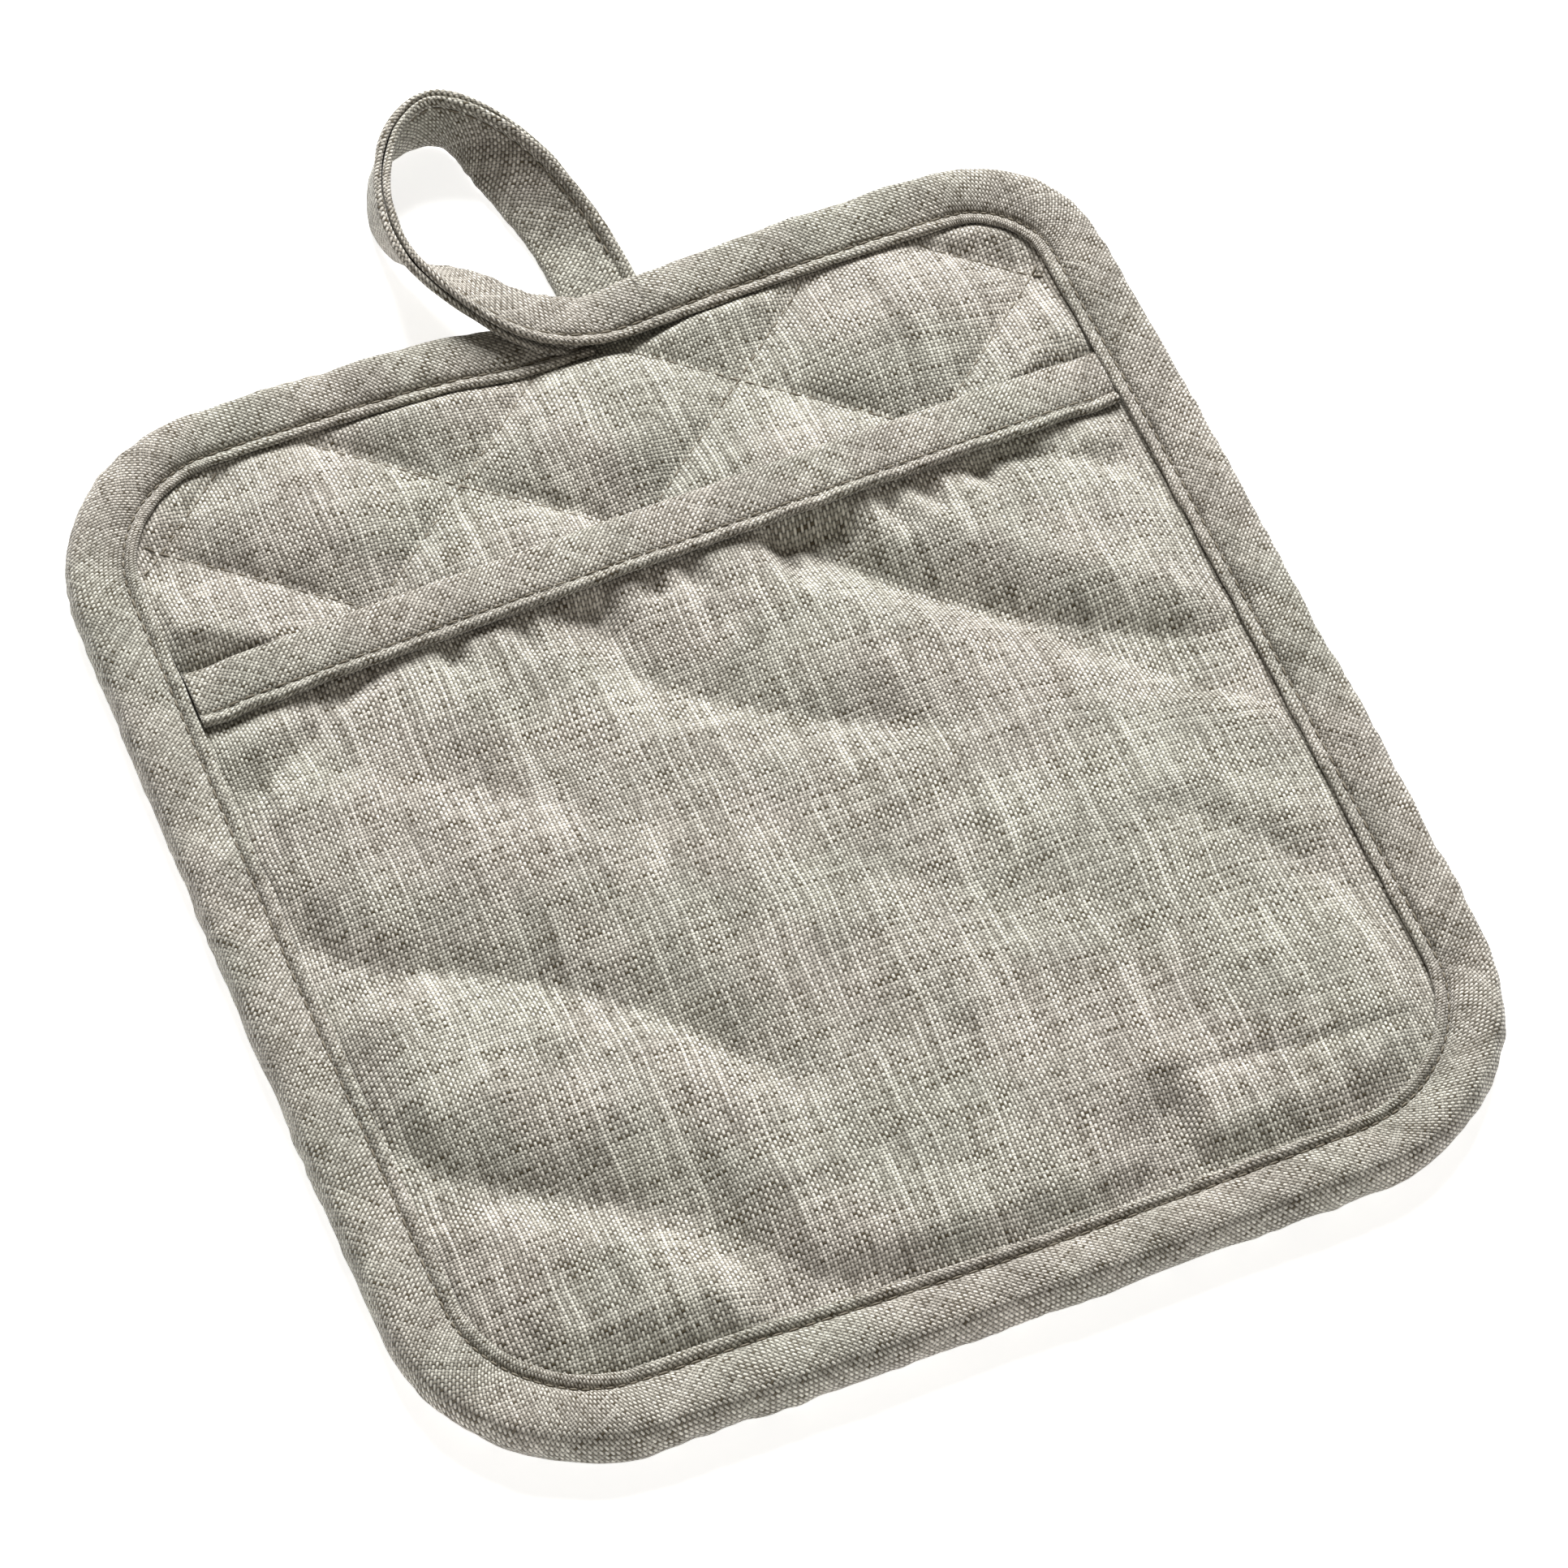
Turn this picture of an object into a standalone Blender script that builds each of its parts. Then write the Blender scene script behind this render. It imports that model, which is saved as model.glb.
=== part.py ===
"""Pocket pot holder, built in the layers that it is sewn from.

A quilted pad (back cloth, wadding, face cloth) carries a plain hand pocket on its
face. A bias tape binds the edge all round, and the end of that tape runs on past
the far edge as a hanging loop. Metres, +Z up. The pad lies on its back at z = 0,
+X runs to the right and +Y towards the loop.
"""
import math

import bmesh
import bpy
from mathutils import Vector

OBJECT_NAME = "pocket_pot_holder"

# Outline of the pad, over the binding
PAD_WIDTH = 0.209
PAD_LENGTH = 0.2325
CORNER_NEAR_RIGHT = 0.037
CORNER_FAR_RIGHT = 0.026
CORNER_FAR_LEFT = 0.034
CORNER_NEAR_LEFT = 0.037
SIDE_BOW = 0.0012
FAR_DIP = 0.0022
FAR_DIP_SPAN = 0.035

# Stock
CLOTH = 0.0004
TAPE = 0.0009
THREAD = 0.0005
WADDING_SEWN = 0.0010
GAP = 0.0003

# Edge binding: a padded roll, a stitched valley and a narrow lip
SEAM_INSET = 0.0111
LIP_WIDTH = 0.0024
LIP_RISE = 0.0006
ROLL_RISE = 0.0013
ROLL_DROP = 0.0017
ROLL_FULLNESS = 0.8
LAYER_INSET = 0.0036

# Quilting: diamonds between two families of slanting seams
DIAMOND_WIDTH = 0.0575
DIAMOND_LENGTH = 0.048
QUILT_NODE = (0.0027, 0.0136)
FACE_PUFF = 0.00265
BACK_PUFF = 0.0046
PUFF_START = 0.016
PUFF_RUN = 0.014
PUFF_POWER = 0.6
QUILT_STEPS = 4
HOP_RAMP = 0.05
SHORTEST_SEAM = 0.5
POCKET_MARGIN = 0.0075

# Hand pocket and the tape along its mouth
POCKET_DOME = 0.0072
HEM_WIDTH = 0.013
HEM_LIP = 0.0025
HEM_Y = 0.0576
HEM_SLANT = 0.0228
HEM_BOW = 0.0040
POCKET_TUCK = 0.0022
POCKET_COLUMNS = 24
POCKET_ROWS = 14
POCKET_CROWDING = 0.4

# Hanging loop, as the free end of the edge tape
LOOP_REACH = 0.050
LOOP_TAPE = 0.0155
LOOP_EDGE_HALF = 0.0016
LOOP_SEAM_HALF = 0.00105
LOOP_FACE_HALF = 0.0012
LOOP_SEAM = 0.0028
LOOP_ROUND = 0.0007

# Where the edge stitching stops on each side of the loop
STITCH_START_X = -0.0145
STITCH_END_X = 0.0195

# How finely the round parts are drawn
CORNER_STEPS = 8
SIDE_STEPS = 8
ROLL_STEPS = 4
SEAM_SAMPLES = 40
SMOOTH_ANGLE = math.radians(40)

HALF_WIDTH = PAD_WIDTH / 2
HALF_LENGTH = PAD_LENGTH / 2
LIP_INSET = SEAM_INSET + LIP_WIDTH
FAR_EDGE = HALF_LENGTH + SIDE_BOW - FAR_DIP
SEAMS_EACH_WAY = math.ceil(HALF_WIDTH / DIAMOND_WIDTH + HALF_LENGTH / DIAMOND_LENGTH)

# Heights of the layers where they are sewn together, from the table up
BACK_UNDER = ROLL_DROP + TAPE + GAP
WADDING_UNDER = BACK_UNDER + CLOTH + GAP
WADDING_TOP = WADDING_UNDER + WADDING_SEWN
FACE_TOP = WADDING_TOP + GAP + CLOTH
POCKET_UNDER = FACE_TOP + GAP + CLOTH + GAP
POCKET_TOP = POCKET_UNDER + CLOTH
VALLEY_TOP = POCKET_TOP + GAP + TAPE
VALLEY_UNDER = BACK_UNDER - GAP - TAPE
ROLL_TOP = VALLEY_TOP + ROLL_RISE
ROLL_MIDDLE = ROLL_TOP / 2

# The tape's two edges as it leaves the pad, stands up, turns round and dives under
# the far edge: (open edge, folded edge), each as x, y past the pad's edge, and z,
# in millimetres for a reach of REACH_DRAWN and a tape of TAPE_DRAWN
REACH_DRAWN = 50.0
TAPE_DRAWN = 15.5
LOOP_RAILS = (
    ((18.0, -13.2, 7.0), (18.0, -6.0, 5.6)),
    ((12.0, -13.1, 7.8), (12.0, -4.0, 6.4)),
    ((5.0, -12.2, 8.8), (6.5, -0.2, 6.6)),
    ((-5.0, -7.7, 10.2), (-2.1, 6.2, 6.8)),
    ((-11.6, -3.1, 11.6), (-6.9, 10.3, 6.8)),
    ((-15.6, 1.9, 13.0), (-11.2, 14.4, 5.8)),
    ((-19.1, 8.4, 14.4), (-14.9, 18.6, 3.8)),
    ((-21.2, 14.8, 15.4), (-18.7, 22.4, 2.0)),
    ((-21.7, 22.1, 16.0), (-21.2, 26.6, 0.9)),
    ((-20.4, 30.6, 16.2), (-21.9, 33.5, 0.4)),
    ((-17.6, 37.6, 16.3), (-19.6, 41.5, 0.4)),
    ((-13.4, 43.9, 16.3), (-14.8, 47.6, 0.4)),
    ((-8.1, 47.9, 16.3), (-8.4, 49.9, 0.4)),
    ((-2.8, 48.6, 16.1), (-3.4, 48.5, 0.4)),
    ((3.4, 45.2, 14.6), (-1.2, 44.5, 0.5)),
    ((9.1, 39.5, 12.2), (-0.7, 39.9, 0.8)),
    ((13.2, 33.0, 10.0), (0.4, 33.6, 1.0)),
    ((15.7, 26.9, 8.0), (1.9, 27.6, 1.2)),
    ((17.8, 20.2, 6.0), (3.1, 20.9, 1.3)),
    ((19.2, 13.6, 4.0), (4.0, 14.2, 1.3)),
    ((20.0, 5.8, 2.4), (4.6, 6.3, 1.3)),
    ((20.2, -2.2, 1.7), (4.7, -2.0, 1.3)),
    ((20.2, -11.2, 1.7), (4.7, -11.2, 1.3)),
)
STITCHED_RAILS = slice(2, 20)


def clear_scene():
    for item in list(bpy.data.objects):
        bpy.data.objects.remove(item, do_unlink=True)


def new_collection(name):
    collection = bpy.data.collections.new(name)
    bpy.context.scene.collection.children.link(collection)
    return collection


def fabric(name, colour, roughness):
    material = bpy.data.materials.new(name)
    material.use_nodes = True
    shader = material.node_tree.nodes["Principled BSDF"]
    shader.inputs["Base Color"].default_value = (*colour, 1.0)
    shader.inputs["Roughness"].default_value = roughness
    shader.inputs["Metallic"].default_value = 0.0
    return material


def add_object(name, mesh, collection, material=None):
    item = bpy.data.objects.new(name, mesh)
    collection.objects.link(item)
    if material is not None:
        item.data.materials.clear()
        item.data.materials.append(material)
    return item


def fill_mesh(mesh, bm):
    """Close a bmesh into a mesh, facing outwards and smooth over its gentle bends."""
    bmesh.ops.recalc_face_normals(bm, faces=bm.faces[:])
    bm.to_mesh(mesh)
    bm.free()
    mesh.shade_smooth()
    mesh.set_sharp_from_angle(angle=SMOOTH_ANGLE)


def mesh_from(name, bm):
    mesh = bpy.data.meshes.new(name)
    fill_mesh(mesh, bm)
    return mesh


def loft(bm, section_rings):
    """Skin a row of like closed sections and cap both ends."""
    count = len(section_rings[0])
    for first, second in zip(section_rings, section_rings[1:]):
        for number in range(count):
            following = (number + 1) % count
            bm.faces.new((first[number], first[following], second[following], second[number]))
    bm.faces.new(section_rings[0])
    bm.faces.new(section_rings[-1])


def remove_curve(item):
    curve = item.data
    bpy.data.objects.remove(item, do_unlink=True)
    bpy.data.curves.remove(curve)


def as_mesh(item):
    """Turn a curve object into a closed mesh object of the same name."""
    depsgraph = bpy.context.evaluated_depsgraph_get()
    mesh = bpy.data.meshes.new_from_object(item.evaluated_get(depsgraph))
    bm = bmesh.new()
    bm.from_mesh(mesh)
    bmesh.ops.remove_doubles(bm, verts=bm.verts[:], dist=1e-6)
    fill_mesh(mesh, bm)
    name = item.name
    collection = item.users_collection[0]
    matrix = item.matrix_world.copy()
    remove_curve(item)
    solid = add_object(name, mesh, collection)
    solid.matrix_world = matrix
    return solid


def poly_curve(name, points, collection, cyclic=False, dimensions="3D"):
    curve = bpy.data.curves.new(name, "CURVE")
    curve.dimensions = dimensions
    spline = curve.splines.new("POLY")
    spline.points.add(len(points) - 1)
    for target, point in zip(spline.points, points):
        target.co = (point[0], point[1], point[2], 1.0)
    spline.use_cyclic_u = cyclic
    item = bpy.data.objects.new(name, curve)
    collection.objects.link(item)
    return item


def cut(item, cutter, operation, collection):
    """Add a Boolean and file its other half under the cutters."""
    for owner in list(cutter.users_collection):
        owner.objects.unlink(cutter)
    collection.objects.link(cutter)
    cutter.hide_render = True
    cutter.display_type = "WIRE"
    modifier = item.modifiers.new(cutter.name, "BOOLEAN")
    modifier.operation = operation
    modifier.solver = "EXACT"
    modifier.object = cutter


def ease(value):
    value = min(max(value, 0.0), 1.0)
    return value * value * (3 - 2 * value)


def bow_factors(x, y):
    """The sides bow outwards a little, and the far one dips where the loop hangs."""
    across = 1 + SIDE_BOW / HALF_WIDTH * (1 - (y / HALF_LENGTH) ** 2)
    dip = FAR_DIP * math.exp(-(x / FAR_DIP_SPAN) ** 2) * ease(y / HALF_LENGTH)
    along = 1 + (SIDE_BOW * (1 - (x / HALF_WIDTH) ** 2) - dip) / HALF_LENGTH
    return across, along


def outline(inset, z=0.0):
    """Points round the pad, anticlockwise from the near right corner."""
    corners = (
        (1, -1, CORNER_NEAR_RIGHT),
        (1, 1, CORNER_FAR_RIGHT),
        (-1, 1, CORNER_FAR_LEFT),
        (-1, -1, CORNER_NEAR_LEFT),
    )
    arcs = []
    for number, (side_x, side_y, radius) in enumerate(corners):
        centre_x = side_x * (HALF_WIDTH - radius)
        centre_y = side_y * (HALF_LENGTH - radius)
        start = math.radians(90 * number - 90)
        for step in range(CORNER_STEPS + 1):
            angle = start + math.radians(90) * step / CORNER_STEPS
            reach = radius - inset
            x = centre_x + reach * math.cos(angle)
            y = centre_y + reach * math.sin(angle)
            arcs.append((x, y))
    points = []
    for number, (x, y) in enumerate(arcs):
        points.append((x, y))
        if (number + 1) % (CORNER_STEPS + 1) == 0:
            next_x, next_y = arcs[(number + 1) % len(arcs)]
            for step in range(1, SIDE_STEPS):
                share = step / SIDE_STEPS
                points.append((x + (next_x - x) * share, y + (next_y - y) * share))
    bowed = []
    for x, y in points:
        across, along = bow_factors(x, y)
        bowed.append(Vector((x * across, y * along, z)))
    return bowed


def edge_distance(x, y):
    """How far a point lies inside the pad's outer edge."""
    across, along = bow_factors(x, y)
    x /= across
    y /= along
    if y < 0:
        radius = CORNER_NEAR_RIGHT if x > 0 else CORNER_NEAR_LEFT
    else:
        radius = CORNER_FAR_RIGHT if x > 0 else CORNER_FAR_LEFT
    to_side = HALF_WIDTH - abs(x)
    to_end = HALF_LENGTH - abs(y)
    if to_side < radius and to_end < radius:
        return radius - math.hypot(radius - to_side, radius - to_end)
    return min(to_side, to_end)


def puff(x, y):
    """Height of the quilting between its seams, from 0 to 1."""
    across = (x - QUILT_NODE[0]) / DIAMOND_WIDTH
    along = (y - QUILT_NODE[1]) / DIAMOND_LENGTH
    swell = abs(math.sin(math.pi * (along + across)) * math.sin(math.pi * (along - across)))
    return swell ** PUFF_POWER * ease((edge_distance(x, y) - PUFF_START) / PUFF_RUN)


def face_lift(x, y):
    return FACE_PUFF * puff(x, y)


def back_drop(x, y):
    """The back's puffs swell downwards and are pressed flat by the table."""
    return min(BACK_PUFF * puff(x, y), BACK_UNDER)


def hem_rise(x):
    return max(0.0, 1 - abs(x / (HALF_WIDTH - LIP_INSET)) ** 3)


def hem_y(x):
    return HEM_Y + HEM_SLANT * x - HEM_BOW * hem_rise(x)


def pocket_lift(x, y):
    """The pocket stands clear of the quilting so that a hand goes in."""
    inside = ease((edge_distance(x, y) - LIP_INSET) / LIP_INSET)
    near = LIP_INSET - HALF_LENGTH
    depth = max(0.0, (hem_y(x) - y) / (hem_y(x) - near))
    return POCKET_DOME * hem_rise(x) * max(0.0, 1 - depth ** 3) * inside


def slab(name, place, steps_x, steps_y, top, under, collection, material):
    """A layer of cloth or wadding: a grid with its own top and underside."""
    bm = bmesh.new()
    bmesh.ops.create_grid(bm, x_segments=steps_x, y_segments=steps_y, size=1.0)
    lower = bm.verts[:]
    for vert in lower:
        vert.co.x, vert.co.y = place(vert.co.x, vert.co.y)
    raised = bmesh.ops.extrude_face_region(bm, geom=bm.faces[:])
    upper = [item for item in raised["geom"] if isinstance(item, bmesh.types.BMVert)]
    for vert in lower:
        vert.co.z = under(vert.co.x, vert.co.y)
    for vert in upper:
        vert.co.z = top(vert.co.x, vert.co.y)
    return add_object(name, mesh_from(name, bm), collection, material)


def outline_block(name, inset, collection):
    """A block of the pad's outline, to trim the layers with."""
    item = poly_curve(name, outline(inset), collection, cyclic=True, dimensions="2D")
    item.data.fill_mode = "BOTH"
    item.data.extrude = PAD_LENGTH / 4
    return as_mesh(item)


def roll_profile(wall):
    """Half of the roll's section as (inset, z), from its top seam to its outer edge."""
    middle = SEAM_INSET / 2
    points = []
    for step in range(ROLL_STEPS, 0, -1):
        share = step / ROLL_STEPS
        swell = math.cos(share * math.pi / 2) ** ROLL_FULLNESS
        points.append((middle + middle * share, VALLEY_TOP + ROLL_RISE * swell - wall))
    for step in range(ROLL_STEPS + 1):
        angle = math.radians(90) * (1 - step / ROLL_STEPS)
        inset = middle - (middle - wall) * math.cos(angle) ** ROLL_FULLNESS
        z = ROLL_MIDDLE + (ROLL_MIDDLE - wall) * math.sin(angle) ** ROLL_FULLNESS
        points.append((inset, z))
    return points


def lower_half(points):
    """The same section turned down to the underside, whose valley is deeper."""
    crest = points[ROLL_STEPS][1]
    turned = []
    for inset, z in reversed(points[:-1]):
        low = ROLL_TOP - z
        if inset > SEAM_INSET / 2:
            low = ROLL_TOP - crest + (crest - z) * ROLL_DROP / ROLL_RISE
        turned.append((inset, low))
    return turned


def ring(name, profile, collection):
    """Sweep a closed (inset, z) profile round the pad."""
    path = poly_curve(name, outline(0.0), collection, cyclic=True)
    drawn = [(-inset, z, 0.0) for inset, z in profile]
    section = poly_curve(name + "_section", drawn, collection, cyclic=True, dimensions="2D")
    path.data.twist_mode = "Z_UP"
    path.data.bevel_mode = "OBJECT"
    path.data.bevel_object = section
    solid = as_mesh(path)
    remove_curve(section)
    return solid


def rail_point(values):
    plan = LOOP_REACH / REACH_DRAWN
    rise = LOOP_TAPE / TAPE_DRAWN
    return Vector((values[0] * plan, FAR_EDGE + values[1] * plan, values[2] * rise))


def loop_frames():
    """Each station of the loop: its open edge, the way across and the way out."""
    rails = [(rail_point(lip), rail_point(fold)) for lip, fold in LOOP_RAILS]
    middles = [(lip + fold) / 2 for lip, fold in rails]
    frames = []
    for number, (lip, fold) in enumerate(rails):
        before = middles[max(number - 1, 0)]
        after = middles[min(number + 1, len(middles) - 1)]
        across = (fold - lip).normalized()
        outward = across.cross(after - before).normalized()
        frames.append((lip, across, outward, (fold - lip).length))
    return frames


def loop_section():
    """The folded tape's section as (across, outward), round from its open edge."""
    face = [
        (0.0, LOOP_EDGE_HALF - LOOP_ROUND),
        (LOOP_ROUND, LOOP_EDGE_HALF),
        (LOOP_SEAM - LOOP_ROUND, LOOP_EDGE_HALF),
        (LOOP_SEAM, LOOP_SEAM_HALF),
        (LOOP_TAPE / 2, LOOP_FACE_HALF),
        (LOOP_TAPE - 2 * LOOP_ROUND, LOOP_FACE_HALF),
        (LOOP_TAPE - LOOP_ROUND / 2, LOOP_FACE_HALF - LOOP_ROUND / 2),
    ]
    back = [(across, -outward) for across, outward in reversed(face)]
    return [(LOOP_ROUND, 0.0)] + face + [(LOOP_TAPE, 0.0)] + back


def loop_solid(collection):
    bm = bmesh.new()
    section = loop_section()
    rings = []
    for lip, across, outward, width in loop_frames():
        stretch = width / LOOP_TAPE
        rings.append([bm.verts.new(lip + across * (w * stretch) + outward * n) for w, n in section])
    loft(bm, rings)
    return add_object("loop_tape", mesh_from("loop_tape", bm), collection)


def edge_binding(parts, cutters, material):
    """One tape: the bound edge all round and the loop that its end makes."""
    upper = roll_profile(0.0)
    crest = SEAM_INSET + LIP_WIDTH / 2
    lip = [(LIP_INSET, VALLEY_TOP), (crest, VALLEY_TOP + LIP_RISE)]
    lip_under = [(crest, VALLEY_UNDER - LIP_RISE), (LIP_INSET, VALLEY_UNDER)]
    binding = ring("edge_binding", lip + upper + lower_half(upper) + lip_under, parts)
    binding.data.materials.clear()
    binding.data.materials.append(material)
    cut(binding, loop_solid(cutters), "UNION", cutters)
    inner = roll_profile(TAPE)
    mouth = LIP_INSET + LIP_WIDTH
    hollow = [(mouth, VALLEY_TOP - TAPE)] + inner + lower_half(inner) + [(mouth, VALLEY_UNDER + TAPE)]
    cut(binding, ring("binding_hollow", hollow, cutters), "DIFFERENCE", cutters)
    return binding


def quilt_point(u, v):
    """A point counted in seams of each family from the quilting's first crossing."""
    x = QUILT_NODE[0] + (u - v) * DIAMOND_WIDTH / 2
    y = QUILT_NODE[1] + (u + v) * DIAMOND_LENGTH / 2
    return x, y


def quilted_layers(parts, cutters, cloth, wadding):
    steps = 2 * SEAMS_EACH_WAY * QUILT_STEPS

    def place(u, v):
        return quilt_point(u * SEAMS_EACH_WAY, v * SEAMS_EACH_WAY)

    layers = (
        ("back_panel", cloth,
         lambda x, y: BACK_UNDER + CLOTH - back_drop(x, y),
         lambda x, y: BACK_UNDER - back_drop(x, y)),
        ("wadding", wadding,
         lambda x, y: WADDING_TOP + face_lift(x, y),
         lambda x, y: WADDING_UNDER - back_drop(x, y)),
        ("face_panel", cloth,
         lambda x, y: FACE_TOP + face_lift(x, y),
         lambda x, y: FACE_TOP - CLOTH + face_lift(x, y)),
    )
    for name, material, top, under in layers:
        layer = slab(name, place, steps, steps, top, under, parts, material)
        cut(layer, outline_block(name + "_trim", LAYER_INSET, cutters), "INTERSECT", cutters)


def pocket_column(u):
    """Columns of the pocket's grid, closer together where it rises from the binding."""
    reach = HALF_WIDTH + SIDE_BOW + GAP
    return reach * ((1 + POCKET_CROWDING) * u - POCKET_CROWDING * u ** 3)


def pocket(parts, cutters, cloth):
    near = -HALF_LENGTH - SIDE_BOW - GAP

    def place(u, v):
        x = pocket_column(u)
        far = hem_y(x) + HEM_WIDTH / 2 - POCKET_TUCK
        return x, near + (far - near) * (v + 1) / 2

    panel = slab("pocket_panel", place, POCKET_COLUMNS, POCKET_ROWS,
                 lambda x, y: POCKET_TOP + pocket_lift(x, y),
                 lambda x, y: POCKET_UNDER + pocket_lift(x, y),
                 parts, cloth)
    cut(panel, outline_block("pocket_panel_trim", LAYER_INSET, cutters), "INTERSECT", cutters)


def hem_path(shift_y, shift_z):
    """Points along the pocket's mouth, from lip to lip."""
    half = HALF_WIDTH - LIP_INSET - GAP
    columns = [pocket_column(2 * step / POCKET_COLUMNS - 1) for step in range(POCKET_COLUMNS + 1)]
    points = []
    for x in [-half] + [x for x in columns if abs(x) < half - GAP] + [half]:
        z = POCKET_UNDER + CLOTH / 2 + pocket_lift(x, hem_y(x)) + shift_z
        points.append(Vector((x, hem_y(x) + shift_y, z)))
    return points


def pocket_hem(parts, material):
    """A folded tape over the pocket's edge, open below, with a lip along its foot."""
    slot = CLOTH / 2 + GAP
    top = slot + TAPE
    under = slot + CLOTH
    half = HEM_WIDTH / 2
    section = [
        (-half, slot),
        (-half, top),
        (-half + HEM_LIP / 2, top + LIP_RISE),
        (-half + HEM_LIP, top - GAP),
        (0.0, top),
        (half - TAPE, top),
        (half, 0.0),
        (half - TAPE, -under),
        (-half, -under),
        (-half, -slot),
        (half - POCKET_TUCK + GAP, -slot),
        (half - POCKET_TUCK + GAP, slot),
    ]
    bm = bmesh.new()
    rings = []
    for point in hem_path(0.0, 0.0):
        rings.append([bm.verts.new(point + Vector((0.0, y, z))) for y, z in section])
    loft(bm, rings)
    return add_object("pocket_hem", mesh_from("pocket_hem", bm), parts, material)


def thread(name, points, collection, material):
    """A run of stitching, drawn as one thin round cord."""
    item = poly_curve(name, points, collection)
    item.data.bevel_depth = THREAD / 2
    item.data.bevel_resolution = 1
    item.data.use_fill_caps = True
    solid = as_mesh(item)
    solid.data.materials.append(material)
    return solid


def edge_stitching(parts, material):
    height = VALLEY_TOP + GAP + THREAD / 2
    points = outline(SEAM_INSET, height)
    far = FAR_EDGE - SEAM_INSET
    start = Vector((STITCH_START_X, far, height))
    end = Vector((STITCH_END_X, far, height))
    beside = [point.y > 0 and STITCH_START_X < point.x < STITCH_END_X for point in points]
    split = next(number for number, point in enumerate(points)
                 if point.y > 0 and point.x < STITCH_START_X)
    order = list(range(split, len(points))) + list(range(split))
    run = [points[number] for number in order if not beside[number]]
    return thread("binding_stitch", [start] + run + [end], parts, material)


def loop_stitching(parts, material):
    rise = LOOP_SEAM_HALF + GAP + THREAD / 2
    points = [lip + across * LOOP_SEAM + outward * rise
              for lip, across, outward, width in loop_frames()[STITCHED_RAILS]]
    return thread("loop_stitch", points, parts, material)


def hem_stitching(parts, material):
    shift_y = HEM_LIP - HEM_WIDTH / 2
    shift_z = CLOTH / 2 + GAP + TAPE + THREAD / 2
    return thread("hem_stitch", hem_path(shift_y, shift_z)[1:-1], parts, material)


def stitch_room(x, y):
    """How far inside the lip a quilting line shows: less above the pocket than in it."""
    bare = y > hem_y(x) + HEM_WIDTH
    return edge_distance(x, y) - LIP_INSET - (GAP if bare else POCKET_MARGIN)


def quilt_run(place):
    """The two ends of a quilting seam, each a little clear of any crossing."""
    samples = range(-SEAMS_EACH_WAY * SEAM_SAMPLES, SEAMS_EACH_WAY * SEAM_SAMPLES + 1)
    inside = [step / SEAM_SAMPLES for step in samples if stitch_room(*place(step / SEAM_SAMPLES)) > 0]
    if not inside:
        return None
    clear = 2 * HOP_RAMP
    start = inside[0]
    end = inside[-1]
    if abs(start - round(start)) < clear:
        start = round(start) + clear
    if abs(end - round(end)) < clear:
        end = round(end) - clear
    return (start, end) if end - start > SHORTEST_SEAM else None


def quilting(parts, material):
    """Two families of seams. The second passes over the first where they cross."""
    height = FACE_TOP + GAP + THREAD / 2
    over = height + THREAD + GAP
    for number in range(-SEAMS_EACH_WAY, SEAMS_EACH_WAY + 1):
        label = f"{number + SEAMS_EACH_WAY:02d}"
        run = quilt_run(lambda t: quilt_point(number, t))
        if run:
            points = [Vector((*quilt_point(number, t), height)) for t in run]
            thread("quilt_stitch_left_" + label, points, parts, material)
        run = quilt_run(lambda t: quilt_point(t, number))
        if run:
            stops = [(run[0], height)]
            for crossing in range(math.ceil(run[0]), math.floor(run[1]) + 1):
                stops += [(crossing - HOP_RAMP, height), (crossing, over), (crossing + HOP_RAMP, height)]
            stops.append((run[1], height))
            points = [Vector((*quilt_point(t, number), z)) for t, z in stops]
            thread("quilt_stitch_right_" + label, points, parts, material)


def centre_on_origin(binding):
    """Hang everything on one empty, with the whole part's box centred over the origin."""
    depsgraph = bpy.context.evaluated_depsgraph_get()
    corners = [corner[1] for corner in binding.evaluated_get(depsgraph).bound_box]
    frame = bpy.data.objects.new("pad_frame", None)
    bpy.context.scene.collection.objects.link(frame)
    for item in bpy.data.objects:
        if item is not frame:
            item.parent = frame
    frame.location.y = -(min(corners) + max(corners)) / 2


def main():
    clear_scene()
    parts = new_collection(OBJECT_NAME)
    cutters = new_collection("cutters")
    cloth = fabric("greige_linen", (0.45, 0.43, 0.37), 0.9)
    tape = fabric("greige_bias_tape", (0.40, 0.38, 0.33), 0.9)
    wadding = fabric("cotton_wadding", (0.80, 0.78, 0.72), 1.0)
    sewing = fabric("greige_thread", (0.36, 0.34, 0.29), 0.8)
    quilted_layers(parts, cutters, cloth, wadding)
    pocket(parts, cutters, cloth)
    pocket_hem(parts, tape)
    binding = edge_binding(parts, cutters, tape)
    edge_stitching(parts, sewing)
    loop_stitching(parts, sewing)
    hem_stitching(parts, sewing)
    quilting(parts, sewing)
    centre_on_origin(binding)


main()
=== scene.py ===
"""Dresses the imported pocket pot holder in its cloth, tape and stitching.

Every piece is drawn in the pad's own plan, in metres: x across the pad, y along it
from its centre towards the hanging loop, z up from the table. PAD_CENTRE then shifts
the finished mesh to where the frame has the pad.
"""
import math

import bpy
import numpy as np
from bpy.props import FloatProperty, FloatVectorProperty, PointerProperty
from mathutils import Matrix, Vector, noise


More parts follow.
